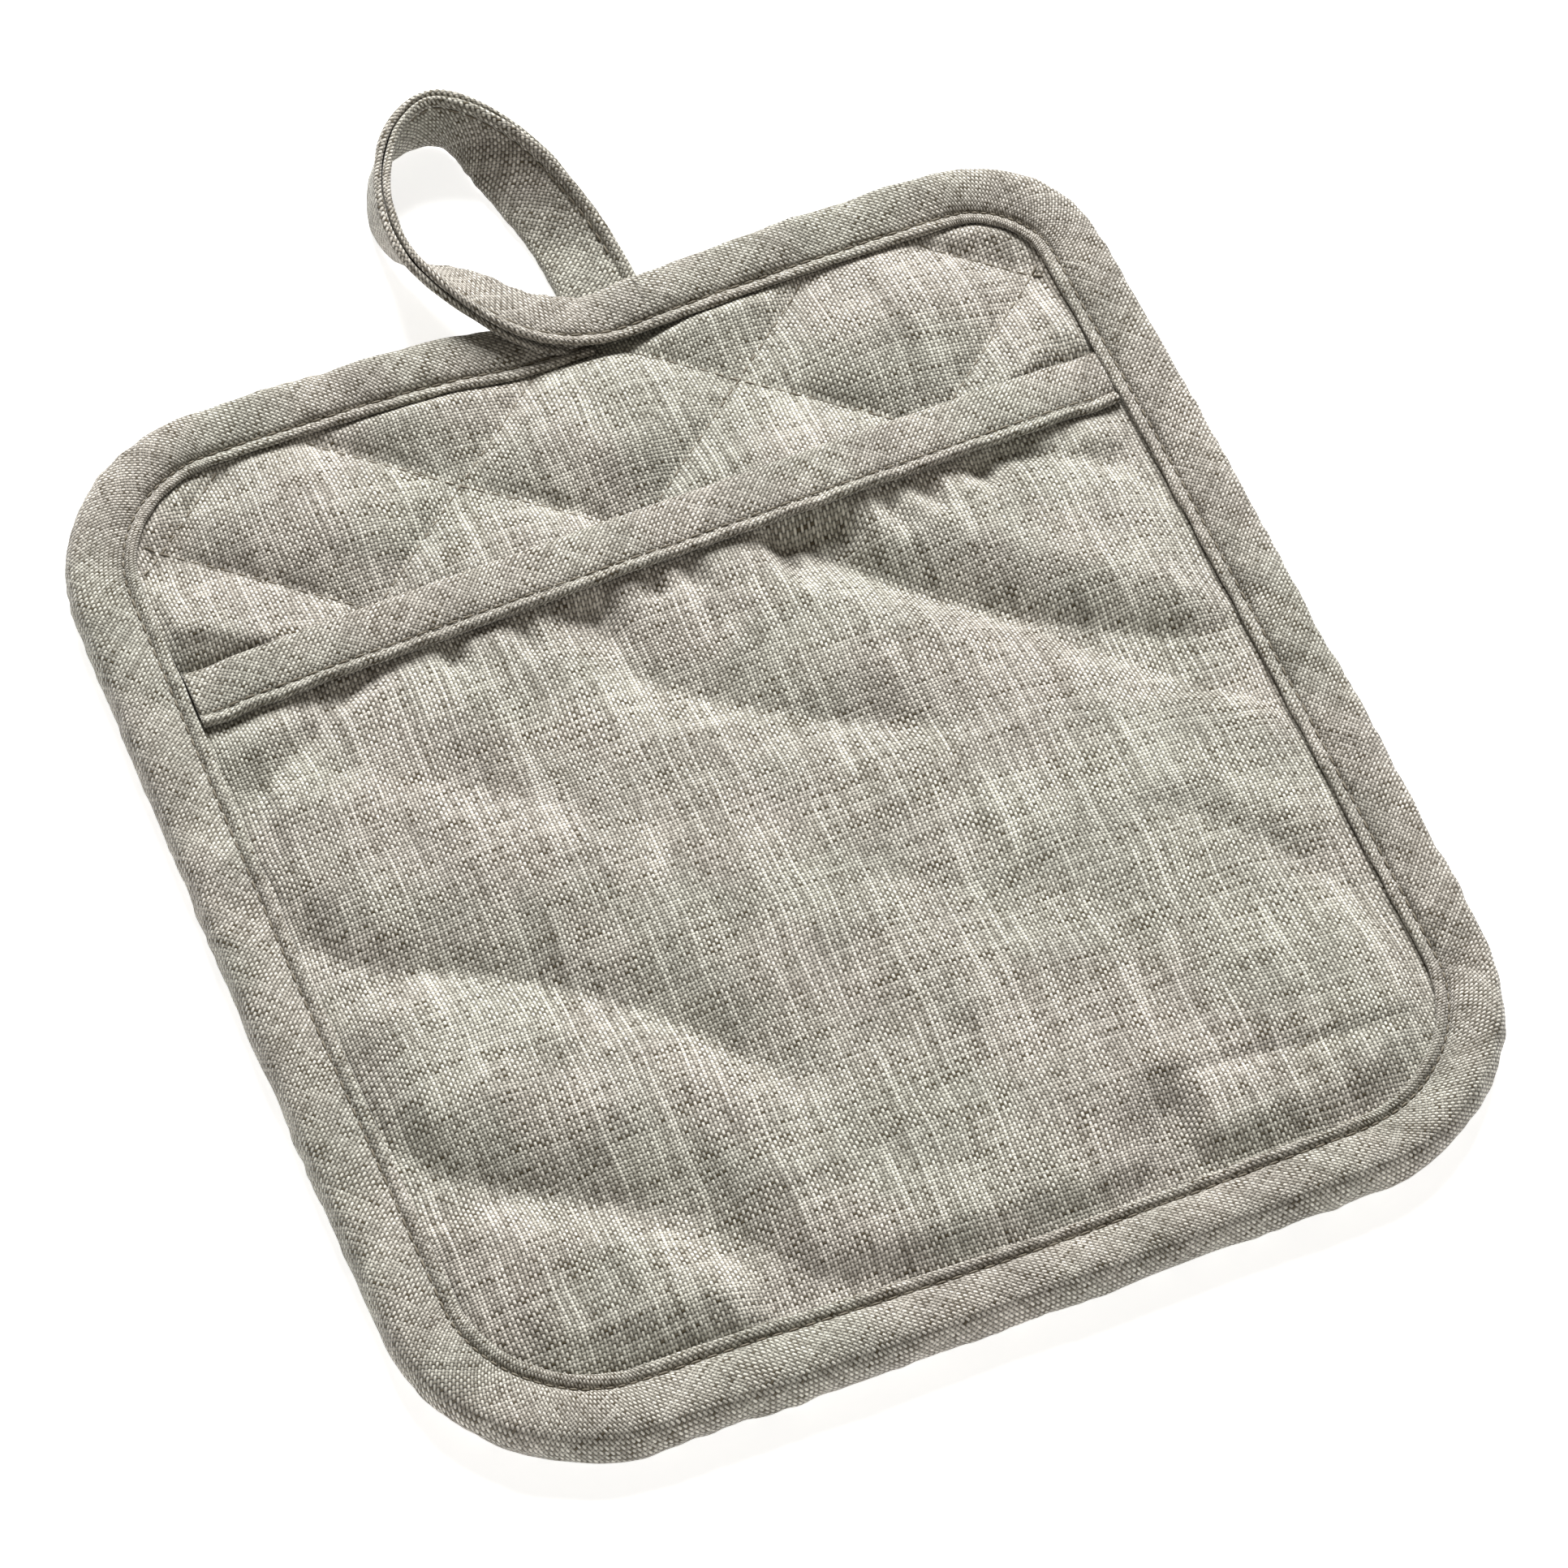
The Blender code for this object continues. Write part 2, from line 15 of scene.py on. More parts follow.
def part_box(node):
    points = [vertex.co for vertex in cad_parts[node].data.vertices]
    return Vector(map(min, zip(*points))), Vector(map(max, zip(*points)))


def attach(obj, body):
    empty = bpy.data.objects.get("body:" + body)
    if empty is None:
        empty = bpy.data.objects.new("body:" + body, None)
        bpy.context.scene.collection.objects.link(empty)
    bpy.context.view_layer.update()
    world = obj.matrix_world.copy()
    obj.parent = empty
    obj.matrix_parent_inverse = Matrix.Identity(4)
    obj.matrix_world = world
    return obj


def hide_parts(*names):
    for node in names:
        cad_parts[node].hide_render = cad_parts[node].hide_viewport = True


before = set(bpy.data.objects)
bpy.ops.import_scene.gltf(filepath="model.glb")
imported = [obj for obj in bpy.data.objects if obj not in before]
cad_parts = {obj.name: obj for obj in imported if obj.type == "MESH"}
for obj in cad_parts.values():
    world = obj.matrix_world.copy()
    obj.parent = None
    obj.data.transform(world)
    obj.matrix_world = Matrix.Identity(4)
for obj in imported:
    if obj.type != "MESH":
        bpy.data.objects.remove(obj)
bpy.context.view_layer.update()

bl_info = {
    "name": "Pocket Pot Holder",
    "version": (1, 0, 0),
    "blender": (4, 5, 0),
    "location": "View3D > Sidebar > Pot Holder",
    "description": "Quilted pot holder with a hand pocket, bound edge and hanging loop",
    "category": "Add Mesh",
}

MM = 0.001

# Plan of the pad, over its binding
EDGE_LOW, EDGE_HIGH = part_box("edge_binding")
SIDE_BOW = 1.2 * MM
HALF_WIDTH = (EDGE_HIGH.x - EDGE_LOW.x) / 2 - SIDE_BOW
HALF_LENGTH = 116.25 * MM
PAD_CENTRE = Vector((0.0, EDGE_LOW.y + HALF_LENGTH + SIDE_BOW, 0.0))
CORNER_RADII = {(1, -1): 37 * MM, (1, 1): 26 * MM, (-1, 1): 34 * MM, (-1, -1): 37 * MM}
FAR_DIP = 2.2 * MM
FAR_DIP_SPAN = 35 * MM
FAR_EDGE = HALF_LENGTH + SIDE_BOW - FAR_DIP

# Heights of the sewn layers above the table
BACK_UNDER = 2.9 * MM
FACE_TOP = 5.3 * MM
POCKET_TOP = 6.7 * MM
CLOTH = 0.4 * MM
CLEAR = 0.15 * MM

# Edge tape
LIP_INSET = 13.5 * MM
LAYER_INSET = 5.5 * MM
# How far in the tape reaches, as a share of its usual reach, at angles round the pad
TAPE_REACH = {
    -180: 1.00, -155: 1.03, -130: 1.05, -113: 1.04, -100: 0.95, -90: 0.89, -69: 0.89, -45: 0.91,
    -25: 0.95, 21: 0.945, 45: 0.97, 63: 1.00, 90: 0.98, 117: 0.96, 140: 0.98, 159: 1.00,
}
ROLL_TOP = 9.2 * MM
STITCH_PITCH = 3.0 * MM
STITCH_CLEAR = 0.03 * MM
STATIONS_PER_STITCH = 4
STATION_STEP = STITCH_PITCH / STATIONS_PER_STITCH

# Quilting. A seam's drift is its distance off its mark, as a share of the seams' pitch.
DIAMOND_WIDTH = 57.5 * MM
DIAMOND_LENGTH = 48 * MM
QUILT_NODE = (2.7 * MM, 13.6 * MM)
SEAMS_EACH_WAY = 5
SEAM_NUMBERS = np.arange(-SEAMS_EACH_WAY, SEAMS_EACH_WAY + 1)
RIGHT_SEAM_DRIFT = (0, 0, 0.03, -0.03, 0.02, 0.05, -0.10, -0.04, 0.05, 0, 0)
LEFT_SEAM_DRIFT = (0, 0, -0.03, 0.02, -0.02, 0.05, 0.07, 0, 0.12, 0, 0)
CELL_STEPS = 34
WADDING_CELL_STEPS = 8
FACE_PUFF = 5.4 * MM
FACE_RISE_REACH = 3.6 * MM
# How high the face cloth comes out from under the lip, and how much more past the hem
FACE_AT_LIP = 0.6 * MM
FACE_PAST_HEM = 0.95 * MM
PUCKER = 0.24 * MM
BACK_PUFF = 4.6 * MM

# Pocket and its hem
POCKET_DOME = 7.2 * MM
SIDE_SWELL = 2.8 * MM
SIDE_SWELL_REACH = 9 * MM
LEFT_STEP = 0.9 * MM
LEFT_STEP_REACH = 2 * MM
RIPPLE = 1.1 * MM
FINE_RIPPLE = 0.30 * MM
POCKET_LEAST = 0.7 * MM
HEM_Y = 57.6 * MM
HEM_SLANT = 0.0228
HEM_BOW = 4.0 * MM
HEM_WIDTH = 13 * MM
HEM_LIP = 2.5 * MM
HEM_SEAM_SHIFT = HEM_LIP + 0.2 * MM - HEM_WIDTH / 2
POCKET_STEP = 1.0 * MM

# Folds of the pocket cloth, in millimetres: points along the bottom of each fold, its
# depth, its width to the left of its line (the shaded side) and to the right (the lit one)
POCKET_FOLDS = (
    (((14, 64), (20, 50), (29, 39), (38, 29), (48, 20), (60, 10), (72, 1), (83, -7), (96, -13),
      (112, -19)), 6.8, 14, 11),
    (((-24, 66), (-21, 50), (-20, 37), (-13, 25), (-2, 15), (12, 6), (30, -3), (46, -10)),
     3.2, 13, 11),
    (((-118, 10), (-101, 20), (-90, 29), (-79, 36), (-69, 42), (-60, 48), (-46, 60)), 2.5, 9, 6),
    (((44, 64), (58, 53), (70, 48), (80, 43), (96, 35), (112, 27)), 3.2, 9, 9),
    (((-92, 36), (-76, 31), (-62, 22), (-50, 15), (-40, 7), (-28, -4)), 1.6, 12, 10),
    (((-124, -6), (-97, -9), (-85, -11), (-72, -16), (-58, -24), (-45, -34), (-33, -46),
      (-24, -58), (-14, -74)), 4.2, 17, 11),
    (((-126, -50), (-97, -55), (-82, -60), (-66, -68), (-52, -78), (-42, -89), (-33, -106),
      (-28, -122)), 4.8, 17, 10),
    (((41, -82), (38, -92), (34.5, -105), (30, -132)), 4.4, 6, 8),
    (((56, -30), (67, -38), (77, -48), (85, -59), (96, -76)), 1.7, 9, 8),
    (((0, -20), (16, -34), (34, -44), (52, -52)), 0.8, 13, 12),
)
# Gathers that hang from the hem's seam: x of each, how far it runs down, and its lean
HEM_GATHERS = (
    (-31, 11, -1), (-18, 15, 2), (-6, 8, 1), (1, 10, 2), (18, 18, 5), (30, 9, 3), (40, 12, 5),
    (47, 10, 6), (-44, 8, -2), (59, 8, 4),
)
GATHER_DEPTH = 2.2
GATHER_WIDTH = 3.6
# Two sharp creases, in millimetres, drawn as narrow shallow folds
CREASES = (((60, -7), (67, -9.5), (79, -12.5), (90, -11.5), (98, -9)),
           ((34, -84), (43, -86), (58, -87.5), (77, -89.5), (92, -89)))
CREASE_DEPTH = 0.8
CREASE_WIDTH = 2.0
# Share of a fold's length over which it fades at each end, and the roundness of its bottom
FOLD_FADE = 0.22
FOLD_ROUND = 0.8 * MM

# Section of the hem's folded tape, in millimetres across the band and above the cloth:
# its front from the foot of the lip to the fold, then its back and the slot between
HEM_FRONT = (
    (-6.35, 0.60), (-6.50, 1.25), (-6.28, 1.92), (-5.60, 2.18), (-4.80, 1.85), (-4.20, 1.35),
    (-3.80, 1.15), (-3.40, 1.35), (-2.20, 1.60), (0.00, 1.70), (2.60, 1.65), (4.80, 1.45),
    (6.00, 0.95), (6.50, 0.10),
)
HEM_BACK = (
    (6.00, -0.65), (4.80, -0.90), (0.00, -0.90), (-5.20, -0.90), (-5.40, -0.55),
    (-4.00, -0.38), (4.20, -0.38), (4.60, 0.00), (4.20, 0.38), (-4.00, 0.38),
)
HEM_SEAM_RISE = 1.42 * MM
# Waves of the hem: long and short ones in its lip, and one in its body; its needle holes
HEM_LIP_WAVE = 0.30 * MM
HEM_FINE_WAVE = 0.22 * MM
HEM_BODY_WAVE = 0.22 * MM
HEM_NEEDLE_DIP = 0.25 * MM

# Section of the edge tape, in millimetres: inset and height where it binds the pad, then
# distance from its open edge and offset from its middle where it runs free as the loop
TAPE_SECTION = (
    ((13.40, 7.05), (0.30, 0.16)),
    ((13.70, 7.50), (0.00, 0.60)),
    ((13.55, 8.05), (0.15, 1.35)),
    ((12.90, 8.32), (0.90, 1.72)),
    ((12.05, 8.14), (1.85, 1.62)),
    ((11.42, 7.72), (2.50, 1.20)),
    ((11.08, 7.30), (2.80, 0.92)),
    ((10.80, 7.70), (3.20, 1.00)),
    ((9.90, 8.30), (4.40, 1.14)),
    ((8.10, 8.88), (6.40, 1.24)),
    ((6.00, 9.25), (9.00, 1.26)),
    ((4.10, 9.36), (11.40, 1.25)),
    ((2.20, 9.12), (13.70, 1.10)),
    ((0.75, 8.00), (15.05, 0.72)),
    ((0.00, 4.60), (15.50, 0.00)),
)
# The same for the inner side of the tape, which shows only between its two open edges
TAPE_HOLLOW = (
    ((12.60, 7.00), (1.40, 0.12)),
    ((9.50, 7.40), (5.00, 0.12)),
    ((6.00, 8.20), (9.00, 0.10)),
    ((2.40, 7.20), (12.60, 0.08)),
    ((1.20, 4.60), (13.90, 0.00)),
)
# Place of the seam's groove in the section, and its distance from the open edge
SEAM_ROW = 6
GROOVE = 2.8 * MM
NEEDLE_DIP = 0.22 * MM
# Waves of the tape: in its body, its drag lines, its lip and beside its stitches
TAPE_WAVE = 0.50 * MM
TAPE_DRAG = 0.42 * MM
LIP_WAVE = 0.26 * MM
STITCH_PULL = 0.10 * MM
# How far the loop's end presses down what it crosses, and what it leaves beneath it
LOOP_PRESS = 1.9 * MM
UNDER_LOOP_END = 3.0 * MM
LOOP_CROSSING = (-23 * MM, 26 * MM)
LOOP_CROSSING_FADE = 12 * MM
SECTION_STEPS = 2

# The free tape's two edges on its way round: (open edge, fold), each as x, y past the
# pad's far edge, and z, in millimetres
LOOP_RAILS = (
    ((18.0, -13.2, 7.0), (18.0, -6.0, 5.6)),
    ((12.0, -13.1, 7.8), (12.0, -4.0, 6.4)),
    ((5.0, -12.2, 8.8), (6.5, -0.2, 6.6)),
    ((-5.0, -7.7, 10.2), (-2.1, 6.2, 6.8)),
    ((-11.6, -3.1, 11.6), (-6.9, 10.3, 6.8)),
    ((-15.6, 1.9, 13.0), (-11.2, 14.4, 5.8)),
    ((-19.1, 8.4, 14.4), (-14.9, 18.6, 3.8)),
    ((-21.2, 14.8, 15.4), (-18.7, 22.4, 2.0)),
    ((-21.7, 22.1, 16.0), (-21.2, 26.6, 0.9)),
    ((-20.4, 30.6, 16.2), (-21.9, 33.5, 0.4)),
    ((-17.6, 37.6, 16.3), (-19.6, 41.5, 0.4)),
    ((-13.4, 43.9, 16.3), (-14.8, 47.6, 0.4)),
    ((-8.1, 47.9, 16.3), (-8.4, 49.9, 0.4)),
    ((-2.8, 48.6, 16.1), (-3.4, 48.5, 0.4)),
    ((3.4, 45.2, 14.6), (-1.2, 44.5, 0.5)),
    ((9.1, 39.5, 12.2), (-0.7, 39.9, 0.8)),
    ((13.2, 33.0, 10.0), (0.4, 33.6, 1.0)),
    ((15.7, 26.9, 8.0), (1.9, 27.6, 1.2)),
    ((17.8, 20.2, 6.0), (3.1, 20.9, 1.3)),
    ((19.2, 13.6, 4.0), (4.0, 14.2, 1.3)),
    ((20.0, 5.8, 2.4), (4.6, 6.3, 1.3)),
    ((20.2, -2.2, 1.7), (4.7, -2.0, 1.3)),
    ((20.2, -11.2, 1.7), (4.7, -11.2, 1.3)),
)
TAPE_WIDTH = 15.5 * MM
LIFT_OFF_RAIL = 4.6
TAPE_START_X = 6 * MM
# The loop's end lies under the binding, so its last stations are not stitched
HIDDEN_STATIONS = 26

# Weave: how much a slub brightens its yarn, and how the bias tape and the cloth lie
SLUB_STRENGTH = 0.27
BIAS_ANGLE = math.radians(42)
CLOTH_ANGLE = math.radians(0.6)

# The photograph's viewpoint, in the pad's plan
CAMERA_AZIMUTH = math.radians(-22.22)
CAMERA_ELEVATION = math.radians(57.02)
CAMERA_DISTANCE = 1.2614
CAMERA_TARGET = Vector((0.0032, 0.0025, 0.0))
CAMERA_LENS_MM = 159.23
SENSOR_MM = 36

# Floor and lights, in metres from the pad's centre
FLOOR_SIZE = 6.0
KEY_LIGHT = ((0.94, 2.30, 1.96), 1.8)
FRONT_LIGHT = ((-0.45, -1.60, 0.55), 1.2)


def ease(value):
    """From 0 to 1 with soft ends, and level outside."""
    value = np.clip(value, 0.0, 1.0)
    return value * value * (3 - 2 * value)


def wander(x, y, seed):
    """Smooth noise from -1 to 1 at each point of two arrays, one wave a unit."""
    flat = [noise.noise((a, b, seed)) for a, b in zip(np.ravel(x), np.ravel(y))]
    return np.array(flat).reshape(np.shape(x))


def evenly(points, count):
    """A polyline's points redrawn at even distances along it."""
    steps = np.linalg.norm(np.diff(points[:, :3], axis=0), axis=1)
    run = np.concatenate([[0.0], np.cumsum(steps)])
    wanted = np.linspace(0.0, run[-1], count)
    return np.column_stack([np.interp(wanted, run, column) for column in points.T])


def through(points, steps):
    """A smooth curve through the points, with so many steps between each two."""
    points = np.array(points, float)
    ends = np.vstack([2 * points[0] - points[1], points, 2 * points[-1] - points[-2]])
    t = np.linspace(0.0, 1.0, steps, endpoint=False)[:, None]
    curve = []
    for before, start, end, after in zip(ends, ends[1:], ends[2:], ends[3:]):
        linear = (end - before) * t
        square = (2 * before - 5 * start + 4 * end - after) * t ** 2
        cube = (3 * start - before - 3 * end + after) * t ** 3
        curve.append(start + (linear + square + cube) / 2)
    return np.vstack(curve + [points[-1:]])


def bow_factors(x, y):
    """The sides bow outwards a little, and the far one dips where the loop hangs."""
    across = 1 + SIDE_BOW / HALF_WIDTH * (1 - (y / HALF_LENGTH) ** 2)
    dip = FAR_DIP * np.exp(-(x / FAR_DIP_SPAN) ** 2) * ease(y / HALF_LENGTH)
    along = 1 + (SIDE_BOW * (1 - (x / HALF_WIDTH) ** 2) - dip) / HALF_LENGTH
    return across, along


def edge_distance(x, y):
    """How far points lie inside the pad's outer edge."""
    across, along = bow_factors(x, y)
    x = x / across
    y = y / along
    radius = np.zeros(np.shape(x))
    for (side_x, side_y), corner in CORNER_RADII.items():
        here = (np.sign(x + 1e-12) == side_x) & (np.sign(y + 1e-12) == side_y)
        radius = np.where(here, corner, radius)
    to_side = HALF_WIDTH - np.abs(x)
    to_end = HALF_LENGTH - np.abs(y)
    arc = radius - np.hypot(radius - to_side, radius - to_end)
    return np.where((to_side < radius) & (to_end < radius), arc, np.minimum(to_side, to_end))


def tape_reach(x, y):
    """How far in the sewn tape reaches at a point, as a share of its usual reach."""
    angle = np.degrees(np.arctan2(y, x))
    return np.interp(angle, list(TAPE_REACH), list(TAPE_REACH.values()), period=360)


def seam_distance(x, y):
    """Distance inside the edge, counted in the tape's own reach."""
    return edge_distance(x, y) / tape_reach(x, y)


def edge_run():
    """Points round the pad's edge, anticlockwise from the far side at TAPE_START_X."""
    arcs = []
    for number, (side_x, side_y) in enumerate(((1, 1), (-1, 1), (-1, -1), (1, -1))):
        radius = CORNER_RADII[side_x, side_y]
        angles = np.radians(np.linspace(90 * number, 90 * number + 90, 40))
        arcs.append(np.column_stack([
            side_x * (HALF_WIDTH - radius) + radius * np.cos(angles),
            side_y * (HALF_LENGTH - radius) + radius * np.sin(angles),
        ]))
    corners = [evenly(np.vstack([a[-1], b[0]]), 60) for a, b in zip(arcs, arcs[1:] + arcs[:1])]
    loop = np.vstack([part for pair in zip(arcs, corners) for part in pair])
    across, along = bow_factors(loop[:, 0], loop[:, 1])
    loop = loop * np.column_stack([across, along])
    start = np.argmin(np.abs(loop[:, 0] - TAPE_START_X) + (loop[:, 1] < 0))
    return np.vstack([loop[start:], loop[:start], loop[start:start + 60]])


def quilt_point(u, v):
    """A point counted in seams of each family, which drift a little off their marks."""
    u = u + np.interp(u, SEAM_NUMBERS, RIGHT_SEAM_DRIFT)
    v = v + np.interp(v, SEAM_NUMBERS, LEFT_SEAM_DRIFT)
    x = QUILT_NODE[0] + (u - v) * DIAMOND_WIDTH / 2
    y = QUILT_NODE[1] + (u + v) * DIAMOND_LENGTH / 2
    return x, y


def puff(x, y, power):
    """Height of the quilting between its seams, from 0 to 1."""
    across = (x - QUILT_NODE[0]) / DIAMOND_WIDTH
    along = (y - QUILT_NODE[1]) / DIAMOND_LENGTH
    u = along + across
    v = along - across
    u = u - np.interp(u, SEAM_NUMBERS, RIGHT_SEAM_DRIFT)
    v = v - np.interp(v, SEAM_NUMBERS, LEFT_SEAM_DRIFT)
    return np.abs(np.sin(math.pi * u) * np.sin(math.pi * v)) ** power


def hem_rise(x):
    """1 in the hem's middle, and 0 where its ends are sewn in."""
    return np.maximum(0.0, 1 - np.abs(x / (HALF_WIDTH - LIP_INSET)) ** 3)


def hem_y(x):
    """Middle of the hem's band."""
    return HEM_Y + HEM_SLANT * x - HEM_BOW * hem_rise(x)


def pocket_base(x, y):
    """The pocket's height before its folds: it stands clear so that a hand goes in."""
    distance = seam_distance(x, y)
    inside = ease((distance - LIP_INSET) / (LIP_INSET * 0.8))
    near = LIP_INSET - HALF_LENGTH
    depth = np.clip((hem_y(x) - y) / (hem_y(x) - near), 0.0, None)
    dome = hem_rise(x) * np.maximum(0.0, 1 - depth ** 3)
    swell = SIDE_SWELL * ease((distance - LIP_INSET + 0.6 * MM) / SIDE_SWELL_REACH)
    step = ease((distance - LIP_INSET + 0.2 * MM) / LEFT_STEP_REACH)
    swell += LEFT_STEP * step * ease(-x / (50 * MM))
    swell = swell * ease((hem_y(x) - HEM_WIDTH / 2 - y) / (7 * MM)) * (1 - 0.85 * dome)
    return POCKET_TOP + POCKET_DOME * dome * inside + swell


def fold_depth(x, y, line, depth, shaded, lit):
    """A fold's hollow, in metres: sharp at its line and smooth at the crests beside it."""
    line = evenly(through(line, 8), 60) * MM
    pitch = np.linalg.norm(line[1] - line[0])
    tangents = np.gradient(line, axis=0)
    tangents /= np.linalg.norm(tangents, axis=1)[:, None]
    hollow = np.zeros(np.shape(x))
    nearest = np.full(np.shape(x), 1e9)
    for number, (point, tangent) in enumerate(zip(line, tangents)):
        dx = x - point[0]
        dy = y - point[1]
        along = np.clip(dx * tangent[0] + dy * tangent[1], -pitch / 2, pitch / 2)
        gap = np.hypot(dx - along * tangent[0], dy - along * tangent[1])
        width = np.where(tangent[0] * dy > tangent[1] * dx, shaded, lit) * MM
        share = (number + along / pitch) / (len(line) - 1)
        strength = ease(np.minimum(share, 1 - share) / FOLD_FADE)
        reach = np.clip((np.hypot(gap, FOLD_ROUND) - FOLD_ROUND) / width, 0.0, 1.0)
        value = depth * MM * strength * (1 - reach) ** 1.6
        hollow = np.where(gap < nearest, value, hollow)
        nearest = np.minimum(gap, nearest)
    return hollow


def pocket_height(x, y):
    """Top of the pocket cloth."""
    below_hem = hem_y(x) - HEM_WIDTH / 2 - y
    loose = ease(below_hem / (5 * MM) + 0.25) * ease((seam_distance(x, y) - 13 * MM) / (3.5 * MM))
    hollow = np.zeros(np.shape(x))
    for line, depth, shaded, lit in POCKET_FOLDS:
        hollow += fold_depth(x, y, line, depth, shaded, lit)
    for foot, run, lean in HEM_GATHERS:
        top = (hem_y(foot * MM) - HEM_WIDTH / 2) / MM
        line = ((foot, top + run), (foot + lean / 2, top - run / 2), (foot + lean, top - run))
        hollow += fold_depth(x, y, line, GATHER_DEPTH, GATHER_WIDTH, GATHER_WIDTH)
    for line in CREASES:
        hollow += fold_depth(x, y, line, CREASE_DEPTH, CREASE_WIDTH, CREASE_WIDTH)
    slant = (0.8 * x - 0.6 * y, 0.6 * x + 0.8 * y)
    ripple = RIPPLE * wander(slant[0] / (42 * MM), slant[1] / (19 * MM), 3.1)
    ripple += FINE_RIPPLE * wander(x / (11 * MM), y / (9 * MM), 5.7)
    return np.maximum(pocket_base(x, y) + (ripple - hollow) * loose, pocket_floor(x, y))


def pocket_floor(x, y):
    """The lowest that the pocket cloth comes, over the pad's own quilting."""
    return POCKET_TOP + POCKET_LEAST * ease((seam_distance(x, y) - LIP_INSET) / (10 * MM))


def under_loop(x, y):
    """1 where the loop's end crosses over the pad's far edge, and 0 away from it."""
    left, right = LOOP_CROSSING
    across = ease((x - left) / LOOP_CROSSING_FADE) * ease((right - x) / LOOP_CROSSING_FADE)
    return across * ease((y - 80 * MM) / (20 * MM))


def face_height(x, y):
    """Top of the quilted face cloth, kept under the pocket."""
    inner = ease((seam_distance(x, y) - LIP_INSET + 0.3 * MM) / FACE_RISE_REACH)
    swell = puff(x, y, 0.75)
    pucker = PUCKER * wander(x / (3.4 * MM), y / (3.4 * MM), 8.3) * np.exp(-4 * swell)
    unevenness = 1 + 0.14 * wander(x / (12 * MM), y / (12 * MM), 2.9)
    past_hem = y - hem_y(x) - HEM_WIDTH / 2
    at_lip = FACE_AT_LIP + FACE_PAST_HEM * ease(past_hem / (5 * MM))
    at_lip = at_lip - LOOP_PRESS * under_loop(x, y)
    lift = at_lip + (FACE_PUFF * swell * unevenness + pucker - at_lip) * inner
    # Room below the hem's tape, which opens out past the hem's upper edge
    room = pocket_base(x, hem_y(x)) - CLOTH - 1.5 * MM - FACE_TOP
    room = np.maximum(room, CLEAR) + 1.7 * MM * ease((past_hem - 0.1 * MM) / (1.4 * MM))
    room += 5.0 * MM * ease(past_hem / (12 * MM))
    under_pocket = np.minimum(room, pocket_floor(x, y) - CLOTH - 0.3 * MM - FACE_TOP)
    room = np.where(past_hem < -3 * MM, under_pocket, room)
    return FACE_TOP + np.minimum(lift, room)


def back_height(x, y):
    """Underside of the back cloth, whose puffs the table presses flat."""
    rise = ease((seam_distance(x, y) - 14 * MM) / (10 * MM))
    drop = BACK_PUFF * puff(x, y, 0.6) * rise
    limit = BACK_UNDER - 0.02 * MM
    return BACK_UNDER - limit * np.tanh((drop / limit) ** 2) ** 0.5


def piece_from(name, points, faces):
    """A mesh object of the pad's plan, put where the frame has the pad."""
    mesh = bpy.data.meshes.new(name)
    mesh.from_pydata([tuple(Vector(point) + PAD_CENTRE) for point in points], [], faces)
    mesh.update()
    mesh.shade_smooth()
    piece = bpy.data.objects.new(name, mesh)
    bpy.context.scene.collection.objects.link(piece)
    return piece


def dressed(piece, material, slot, *nodes):
    """Give a piece its material and its place in the frame."""
    piece.data.materials.clear()
    piece.data.materials.append(material)
    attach(piece, "root")
    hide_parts(*nodes)
    return piece


def sheet_faces(rows, columns, keep):
    """Quads of a grid of rows and columns, where all corners are kept."""
    faces = []
    for row in range(rows - 1):
        for column in range(columns - 1):
            a = row * columns + column
            corners = (a, a + 1, a + columns + 1, a + columns)
            if all(keep[corner] for corner in corners):
                faces.append(corners)
    return faces


def thick_sheet(name, x, y, top, under, keep):
    """A cloth between two heights over a grid of points, closed round its edge."""
    rows, columns = x.shape
    faces = sheet_faces(rows, columns, keep.ravel())
    used = sorted({corner for face in faces for corner in face})
    order = {corner: number for number, corner in enumerate(used)}
    count = len(used)
    upper = np.column_stack([x.ravel(), y.ravel(), top.ravel()])[used]
    lower = np.column_stack([x.ravel(), y.ravel(), under.ravel()])[used]
    above = [tuple(order[corner] for corner in face) for face in faces]
    below = [tuple(count + corner for corner in reversed(face)) for face in above]
    sides = dict.fromkeys(side for face in above for side in zip(face, face[1:] + face[:1]))
    rim = [(end, start, count + start, count + end)
           for start, end in sides if (end, start) not in sides]
    return piece_from(name, np.vstack([upper, lower]), above + below + rim)


def tube_faces(stations, around):
    """Quads between a tube's rows of section points, and a cap at each end."""
    faces = []
    for station in range(stations - 1):
        for number in range(around):
            following = (number + 1) % around
            a = station * around
            b = a + around
            faces.append((a + number, a + following, b + following, b + number))
    faces.append(tuple(range(around - 1, -1, -1)))
    faces.append(tuple(range((stations - 1) * around, stations * around)))
    return faces


def swept(name, grid):
    """A closed tube through rows of section points."""
    return piece_from(name, grid.reshape(-1, 3), tube_faces(*grid.shape[:2]))


def face_outwards(piece):
    """Turn the faces out, for a sweep whose direction is not known beforehand."""
    bpy.ops.object.select_all(action="DESELECT")
    bpy.context.view_layer.objects.active = piece
    piece.select_set(True)
    bpy.ops.object.mode_set(mode="EDIT")
    bpy.ops.mesh.select_all(action="SELECT")
    bpy.ops.mesh.normals_make_consistent(inside=False)
    bpy.ops.object.mode_set(mode="OBJECT")
    piece.select_set(False)


